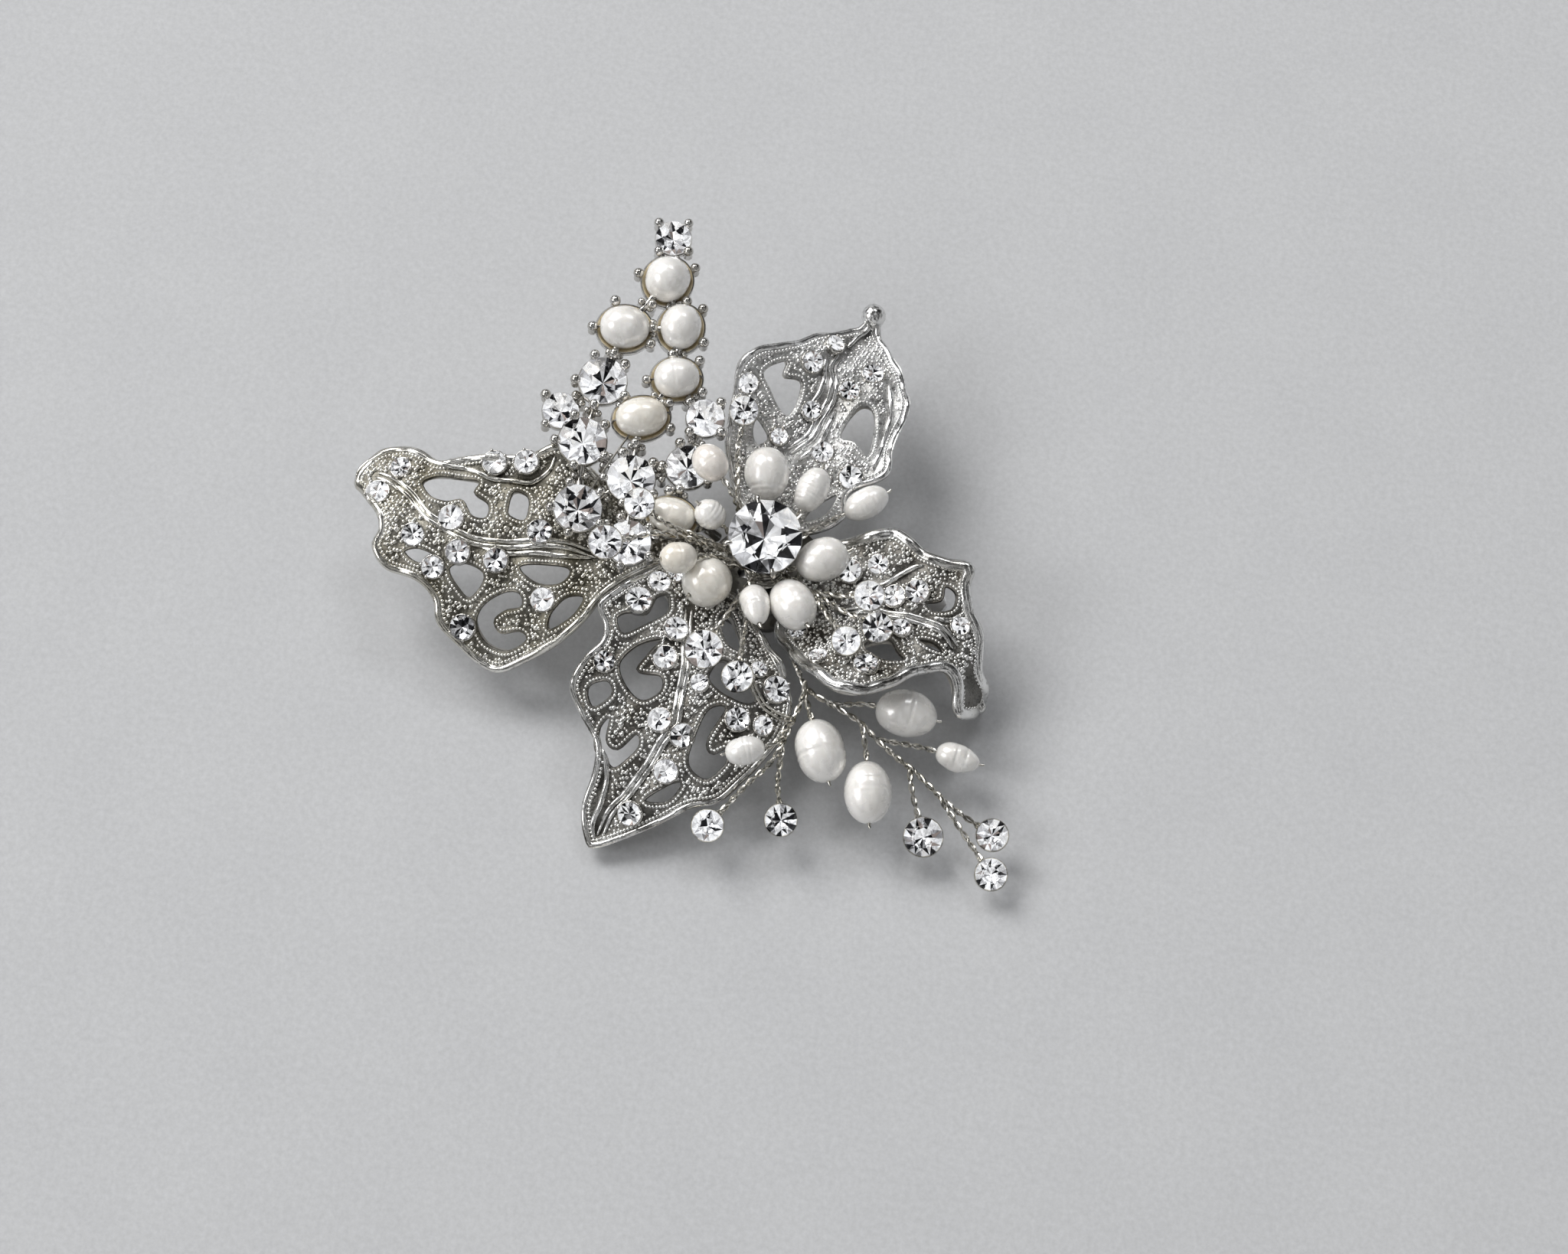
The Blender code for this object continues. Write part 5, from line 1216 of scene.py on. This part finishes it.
# Profiles for a stone or pearl with a radius of 1. oval() stretches them.
CRYSTAL_COLLET = lathe(
    ((0.9, -0.35), (1.04, -0.22), (1.14, -0.34), (1.14, -1.3), (1.0, -1.5), (0.7, -1.5)),
    44, ring=True,
)
PEARL_COLLET = lathe(
    ((1.3, -0.95), (1.4, -0.66), (1.54, -0.64), (1.62, -0.8), (1.56, -1.9), (1.42, -2.1),
     (1.25, -2.1)),
    48, ring=True,
)
PEARL_SEAT = lathe(
    ((0.0, -1.6), (0.8, -1.45), (1.28, -0.72), (1.4, -0.72), (1.4, -2.0), (0.9, -2.15),
     (0.0, -2.15)),
    48,
)
CLAW_POST = lathe(((0, 0.1), (0.36, 0.1), (0.42, -1.0), (0.62, -1.9), (0, -1.9)), 10)
CLAW_BALLS = (0.62, 0.74)
CLAW_GAP = 1.15
# The balls on each link, as (shift across it, height, size).
LINK_BALLS = ((-0.75, 0.45, 0.5), (0.75, 0.45, 0.5), (0.0, 0.7, 0.46))
LINK_DEPTH, LINK_GAP = 1.15, 0.8
TANG_RADIUS = 0.8
TIE_RADIUS = 0.14
# The settings that thin wires tie together.
TIE_WIRES = (("pearl_5", "crystal_7"), ("crystal_5", "crystal_8"), ("pearl_1", "pearl_3"))


def cluster_settings():
    """Each setting of the cluster: its origin and axes, and its half sizes along them."""
    settings = {}
    plane = stone_of("cluster_crystal_1")[1]
    flower_x = turned_out((1.0, 0.0, 0.0))
    for name in node_names("cluster_"):
        if name == "cluster_frame":
            continue
        if "crystal" in name:
            origin, _, half_x = stone_of(name)
            half_y = half_x
            along = flower_x
        else:
            origin, along, length, width = pearl_of(name)
            half_x, half_y = length / 2, width / 2
            if along @ flower_x < 0:
                along = -along
        along = unit(along - plane * (along @ plane))
        settings[name] = ((origin, along, np.cross(plane, along), plane), half_x, half_y)
    return settings


def oval(template, half_x, half_y):
    """The template, made for a radius of 1, stretched to the half sizes plus its own wall."""
    points, groups = template
    points = points.copy()
    wall = np.hypot(points[:, 0], points[:, 1]) - 1.0
    angle = np.arctan2(points[:, 1], points[:, 0])
    points[:, 0] = (half_x + wall) * np.cos(angle)
    points[:, 1] = (half_y + wall) * np.sin(angle)
    return points, groups


def is_taken(point, settings, gap, balls, spacing, own=None):
    """Whether the point is over another setting's stone or pearl, or too close to a ball."""
    for name, ((origin, along, across, up), half_x, half_y) in settings.items():
        offset = point - origin
        reach = math.hypot(offset @ along / (half_x + gap), offset @ across / (half_y + gap))
        if name != own and reach < 1 and abs(offset @ up) < 2.0:
            return True
    return any(np.linalg.norm(point - ball) < spacing for ball in balls)


def add_collets(shape, settings, balls):
    """The collets, the pearls' seats in slot 1, and claws that end in polished balls."""
    for name, (place, half_x, half_y) in settings.items():
        pearl = "pearl" in name
        put(shape, oval(PEARL_COLLET if pearl else CRYSTAL_COLLET, half_x, half_y), place)
        if pearl:
            put(shape, oval(PEARL_SEAT, half_x, half_y), place, 1)
        origin, along, across, up = place
        claws = 5 if half_x > 2.7 else 4
        reach, height = (0.95, 0.0) if pearl else (0.42, 0.35)
        for k in range(claws):
            angle = math.tau * (k + 0.5) / claws
            out = around(angle, along * (half_x + reach), across * (half_y + reach))
            top = origin + out + up * height
            if is_taken(top, settings, 0.3, balls, CLAW_GAP, name):
                continue
            balls.append(top)
            put(shape, CLAW_POST, (top, along, across, up))
            scatter(shape, BALL, [top], up, RANDOM.uniform(*CLAW_BALLS))


def add_links(shape, settings, balls, up):
    """The links between neighbouring settings, each with up to three balls."""
    for first, second in CLUSTER_LINKS:
        (a, *_), a_x, a_y = settings["cluster_" + first]
        (b, *_), b_x, b_y = settings["cluster_" + second]
        line = unit(b - a)
        start = a + line * min(a_x, a_y) - up * LINK_DEPTH
        end = b - line * min(b_x, b_y) - up * LINK_DEPTH
        waist = 0.5 + 0.15 * np.linspace(-1, 1, 7) ** 2
        sweep(shape, np.linspace(start, end, 7), waist, 10)
        across = np.cross(up, line)
        for shift, height, size in LINK_BALLS:
            point = (start + end) / 2 + across * shift + up * height
            if is_taken(point, settings, 0.05, balls, LINK_GAP):
                continue
            balls.append(point)
            scatter(shape, BALL, [point], up, size)
            put(shape, CLAW_POST, (point - up * 0.1, line, across, up))


def cluster_ties(settings, up):
    """The wire through each pearl of the cluster, and the wires between settings."""
    ties = Shape()
    for name, ((origin, along, _, rise), half_x, _) in settings.items():
        if "pearl" not in name:
            continue
        for end in (-1, 1):
            tip = origin + along * end * (half_x - 0.9)
            out = origin + rise * 0.05 + along * end * (half_x + 0.12)
            down = origin - rise * 1.2 + along * end * (half_x + 0.4)
            sweep(ties, smooth((tip, out, down), 8), TIE_RADIUS, 7)
    for start, end in TIE_WIRES:
        a, b = (settings["cluster_" + name][0][0] for name in (start, end))
        line = unit(b - a)
        path = (a + line * 2.6 - up * 0.4, (a + b) / 2 + up * 0.1, b - line * 2.2 - up * 0.5)
        sweep(ties, smooth(path, 8), TIE_RADIUS, 7)
    return ties


def make_cluster():
    settings = cluster_settings()
    up = settings["cluster_crystal_1"][0][3]
    shape, balls = Shape(), []
    add_collets(shape, settings, balls)
    add_links(shape, settings, balls, up)
    sweep(shape, smooth(turned_out(TANG), 10), TANG_RADIUS, 14)
    # The seats' material is a painted reflection of the pearls.
    metals = ("polished_setting", "warm_seat")
    make_piece("cluster_casting", shape, metals, ("cluster_frame",), 45)
    make_piece("cluster_ties", cluster_ties(settings, up), ("tie_wire",))


# ---------------------------------------------------------------- centre

# The hub that holds the wires stands on Z, with wire wrapped round it between WRAP_HEIGHTS.
HUB_PLACE = (np.zeros(3), *np.eye(3))
HUB_PROFILE = ((0, 11.4), (1.6, 11.4), (2.35, 10.4), (2.35, 6.5), (0, 6.5))
WRAP_HEIGHTS, WRAP_TURNS, WRAP_STEPS = (6.7, 11.0), 12, 28
TANGLE_LOOPS, TANGLE_POINTS = 9, 7
TANGLE_REACH, TANGLE_HEIGHTS = (1.7, 3.4), (11.6, 14.0)
STEM_START = HUB_RADIUS - 0.6
# The cup's claws, as (reach past the stone's radius, height) from root to tip.
CUP_CLAWS = 4
CUP_CLAW_PATH = ((0.1, -1.1), (0.42, -0.3), (0.3, 0.45), (-0.45, 0.72))
# The ring of a wired crystal, as (reach past the stone's radius, height), and the loop at it.
RING_PROFILE = ((-0.12, -0.22), (0.1, -0.1), (0.17, -0.3), (-0.1, -0.95), (-0.45, -0.95))
LOOP_RADIUS, LOOP_WIRE = 0.34, 0.15
# The spray's trunk is twisted of thicker wire. It forks at this one of its points.
TRUNK_STRAND, TRUNK_REACH = 0.2, 0.22
TRUNK_FORK = 9


def make_centre_cup():
    """The open cup under the large crystal, and its four claws."""
    centre, normal, radius = stone_of("centre_crystal")
    side, other, up = axes_of(normal)
    stem = HUB_TOP + 0.3 - centre[2]
    profile = (
        (0, -4.2), (0.9, -4.1), (radius - 0.6, -0.9), (radius - 0.25, -0.5), (radius, -0.5),
        (radius + 0.06, -0.8), (radius - 0.6, -1.8), (1.3, -4.9), (1.1, stem), (0, stem),
    )
    shape = Shape()
    put(shape, lathe(profile, 56), (centre, side, other, up))
    flower_y = turned_out((0.0, 1.0, 0.0))
    first = unit(flower_y - up * (flower_y @ up))
    second = np.cross(up, first)
    for k in range(CUP_CLAWS):
        out = around(math.radians(12) + math.tau * k / CUP_CLAWS, first, second)
        points = [centre + out * (radius + reach) + up * rise for reach, rise in CUP_CLAW_PATH]
        path = smooth(points, 6)
        radii = np.interp(np.linspace(0, 1, len(path)), (0, 0.6, 1), (0.42, 0.4, 0.24))
        sweep(shape, path, radii, 10, np.broadcast_to(np.cross(out, up), path.shape))
    metals = ("polished_setting",)
    make_piece("centre_setting", shape, metals, ("centre_cup",), 40)


def pearl_stem(shape, start, lead, name):
    """A twisted stem to a pearl's inner end, and the wire's bent end at its outer one."""
    centre, axis, length, _ = pearl_of(name)
    inner = centre - axis * (length / 2 + 0.15)
    span = np.linalg.norm(inner - start)
    path = hermite(np.linspace(0, 1, 8)[:, None], start, lead * span, inner, axis * span)
    twist(shape, path, phase=RANDOM.random() * 6)
    side = axes_of(axis)[0]
    end = centre + axis * (length / 2)
    sweep(shape, smooth((inner - axis * 0.2, inner + axis * 0.6), 3), 0.2, 8)
    hook = (end - axis * 0.8, end + axis * 0.25, end + axis * 0.6 + side * 0.12)
    sweep(shape, smooth(hook, 4), 0.19, 8)


def crystal_stem(shape, points, name):
    """A twisted stem to a wired crystal, the small loop at its end and the crystal's ring."""
    centre, normal, radius = stone_of(name)
    toward = points[-1] - centre
    toward = unit(toward - normal * (toward @ normal))
    end = centre + toward * (radius + 0.2) - normal * 0.55
    twist(shape, [*points, end], phase=RANDOM.random() * 6)
    put(shape, ring_for(radius, RING_PROFILE, 36), (centre, *axes_of(normal)))
    loop = end + LOOP_RADIUS * around(circle(14), toward, np.cross(normal, toward))
    sweep(shape, loop + normal * 0.1, LOOP_WIRE, 7, closed=True)


def add_tangle(shape):
    """Loose loops of wire round the top of the hub."""
    for k in range(TANGLE_LOOPS):
        heading = math.tau * k / TANGLE_LOOPS + RANDOM.uniform(-0.2, 0.2)
        loop = []
        for n in range(TANGLE_POINTS):
            turn = heading + math.tau * n / TANGLE_POINTS
            out = RANDOM.uniform(*TANGLE_REACH)
            height = RANDOM.uniform(*TANGLE_HEIGHTS)
            loop.append((out * math.cos(turn), out * math.sin(turn), height))
        sweep(shape, smooth(loop, 10, closed=True), 0.17, 7, closed=True)


def make_centre_wires():
    """The hub in slot 1, its wrapping, the tangle on it and the stems from it."""
    shape = Shape()
    put(shape, lathe(HUB_PROFILE, 24), HUB_PLACE, 1)
    angle = math.tau * np.arange(WRAP_TURNS * WRAP_STEPS) / WRAP_STEPS
    rise = np.linspace(*WRAP_HEIGHTS, len(angle))
    reach = 2.5 + 0.1 * np.sin(angle * 0.7) - 0.5 * np.clip((rise - 10.4) / 0.6, 0, 1)
    wrap = np.stack([reach * np.cos(angle), reach * np.sin(angle), rise], axis=1)
    sweep(shape, wrap, 0.2, 7)
    add_tangle(shape)
    for name in node_names("centre_pearl_"):
        out = unit(pearl_of(name)[0] * LEVEL)
        start = out * STEM_START + np.array((0, 0, HUB_TOP - 1.2))
        pearl_stem(shape, start, out + np.array((0, 0, 0.6)), name)
    for name, route in STEM_ROUTES.items():
        route = turned_out(route)
        start = unit(route[0] * LEVEL) * STEM_START + np.array((0, 0, HUB_TOP - 1.6))
        crystal_stem(shape, [start, *route], name)
    metals = ("twisted_wire", "tie_wire")
    make_piece("centre_wirework", shape, metals, ("centre_wires",), 50)


def make_spray():
    """The twisted trunk and branches of the drooping spray."""
    shape = Shape()
    twist(shape, turned_out(SPRAY_TRUNK[: TRUNK_FORK + 1]), TRUNK_STRAND, TRUNK_REACH)
    for name, branch in SPRAY_BRANCHES.items():
        crystal_stem(shape, list(turned_out(branch)[:-1]), name)
    crystal_stem(shape, list(turned_out(SPRAY_TRUNK[TRUNK_FORK:-1])), "spray_crystal_4")
    for name, start in SPRAY_STARTS.items():
        start = turned_out(start)
        pearl_stem(shape, start, unit(pearl_of(name)[0] - start), name)
    leaf = Leaf(LEAVES["leaf_lower"])
    for offset in (0.0, 0.55):
        plan = smooth(np.array(LOBE_WRAP) + (offset, 0.0), 8)
        sweep(shape, leaf.upper(plan, 0.45)[0], 0.2, 8)
    make_piece("spray_wirework", shape, ("twisted_wire",), ("spray_wire",), 50)


# ---------------------------------------------------------------- clip

SPRING_WIRE = 0.28
SPRING_RADIUS = 1.4
SPRING_TURNS = 4
SPRING_PITCH = 0.75
SPRING_START = -62.0


def make_clip_spring():
    """The torsion spring: its coil is round the pin, and its lower leg goes with the lower jaw."""
    low, high = (np.array(corner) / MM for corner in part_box("clip_spring"))
    pin = np.array(frame["record"]["behaviour"]["joints"][0]["pos_m"]) / MM
    turns = np.arange(0, SPRING_TURNS + 1 / 3 + 0.01, 1 / 36)
    angle = math.radians(SPRING_START) + math.tau * turns
    x, z = SPRING_RADIUS * np.cos(angle), SPRING_RADIUS * np.sin(angle)
    coil = np.stack([x, SPRING_PITCH * turns - SPRING_TURNS * SPRING_PITCH / 2, z], 1)
    lower_leg = (high[0], low[1] + SPRING_WIRE, low[2] + SPRING_WIRE)
    upper_leg = (high[0], high[1] - SPRING_WIRE, high[2] - SPRING_WIRE)
    path = even(np.vstack([lower_leg, pin + coil, upper_leg]), 0.2)
    shape = Shape()
    sweep(shape, path, SPRING_WIRE, 12, np.broadcast_to((0.0, 1.0, 0.0), path.shape))
    metal, stands_for = ("spring_wire",), ("clip_spring",)
    piece = make_piece("spring_coil", shape, metal, stands_for, 60, rides=False)
    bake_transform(piece)


def make_clip():
    """The clip's other pieces keep their CAD shape, with eased edges and metal looks."""
    for name in ("clip_lower_jaw", "clip_upper_jaw", "clip_hinge_pin", "back_plate"):
        node = frame["nodes"][name]
        metal = "blackened_plate" if name == "back_plate" else "rolled_steel"
        node.data.materials.clear()
        node.data.materials.append(MATERIALS[metal])
        weld = node.modifiers.new("weld", "WELD")
        weld.merge_threshold = 0.001 * MM
        bevel = node.modifiers.new("eased edges", "BEVEL")
        bevel.width = 0.12 * MM
        bevel.segments = 2
        bevel.limit_method = "ANGLE"
        bevel.angle_limit = math.radians(40)


# ---------------------------------------------------------------- stage, light and camera

FLOOR_REACH, FLOOR_HEIGHT = 2.0, -0.0001

# name: place and size in metres, power in watts, colour
LIGHTS = {
    "key_light": ((-1.5, 1.1, 1.92), (1.55, 1.55), 52.0, (1.0, 0.99, 0.975)),
    "top_light": ((0.4, 1.9, 2.6), (1.02, 0.68), 12.0, (0.97, 0.98, 1.0)),
    "front_light": ((-1.9, -0.86, 1.54), (1.02, 1.02), 16.0, (1.0, 1.0, 1.0)),
}
LIGHT_TARGET = (0, 0, 0.01)
ROOM_STRENGTH = 0.45

# The camera's place from the centre crystal, in millimetres, and how far it looks down.
CAMERA_PLACE = (2.4, -209.45, 421.9)
CAMERA_ELEVATION = math.radians(65.0)
CAMERA_LENS = 85.0
CAMERA_SENSOR = 36.0


def make_floor():
    mesh = bpy.data.meshes.new("floor")
    signs = ((-1, -1), (1, -1), (1, 1), (-1, 1))
    corners = [(x * FLOOR_REACH, y * FLOOR_REACH, FLOOR_HEIGHT) for x, y in signs]
    mesh.from_pydata(corners, [], [(0, 1, 2, 3)])
    look = new_material("pale_paper", {"Roughness": 0.9, "Specular IOR Level": 0.0})
    stops = (0.3, (0.578, 0.586, 0.601)), (0.7, (0.598, 0.606, 0.62))
    colour = look.ramp(look.noise(60.0, 6.0), *stops)
    fibres = look.ramp(look.noise(1400.0, 3.0, 0.7), (0.3, 0.93), (0.7, 1.06))
    look.feed("Base Color", look.mix(1.0, colour, fibres, "MULTIPLY"))
    look.bump(look.noise(900.0), 0.05, 0.3)
    mesh.materials.append(MATERIALS["pale_paper"])
    floor = add_object("floor", mesh)


def aim(thing, place, direction):
    """Puts a light or the camera at the place, looking along the direction."""
    thing.location = place
    thing.rotation_mode = "QUATERNION"
    thing.rotation_quaternion = Vector(direction).to_track_quat("-Z", "Y")


def make_lights():
    """A large soft light from the upper left and two weaker ones."""
    for name, (place, size, power, colour) in LIGHTS.items():
        data = bpy.data.lights.new(name, "AREA")
        data.shape = "RECTANGLE"
        data.size, data.size_y = size
        data.energy = power
        data.color = colour
        aim(add_object(name, data), place, Vector(LIGHT_TARGET) - Vector(place))


def make_room():
    """A dim room with pale patches, for the metal and the stones to mirror."""
    room = bpy.data.worlds.new("studio")
    look = Look(room, "Background")
    patches = look.noise(2.6, 1.0, place=look.node("TexCoord").outputs["Generated"])
    stops = (0.40, 0.03), (0.47, 0.22), (0.53, 0.7), (0.6, 1.3)
    look.feed("Color", look.ramp(patches, *stops))
    look.shader.inputs["Strength"].default_value = ROOM_STRENGTH
    bpy.context.scene.world = room


def make_camera():
    """The camera, at the angle of a person looking down at the table."""
    data = bpy.data.cameras.new("camera")
    data.lens = CAMERA_LENS
    data.sensor_width = CAMERA_SENSOR
    data.clip_start = 0.01
    camera = add_object("camera", data)
    place = stone_of("centre_crystal")[0] + turned_out(CAMERA_PLACE)
    look = (0.0, math.cos(CAMERA_ELEVATION), -math.sin(CAMERA_ELEVATION))
    aim(camera, place * MM, turned_out(look))
    bpy.context.scene.camera = camera


def main():
    bpy.context.scene.view_settings.view_transform = "Standard"
    make_camera()
    make_lights()
    make_room()
    make_floor()
    make_materials()
    make_leaves()
    make_cluster()
    make_centre_cup()
    make_centre_wires()
    make_spray()
    for name in node_names("_pearl_"):
        make_pearl(name)
    for name in node_names("crystal"):
        make_crystal(name)
    make_clip()
    make_clip_spring()


main()
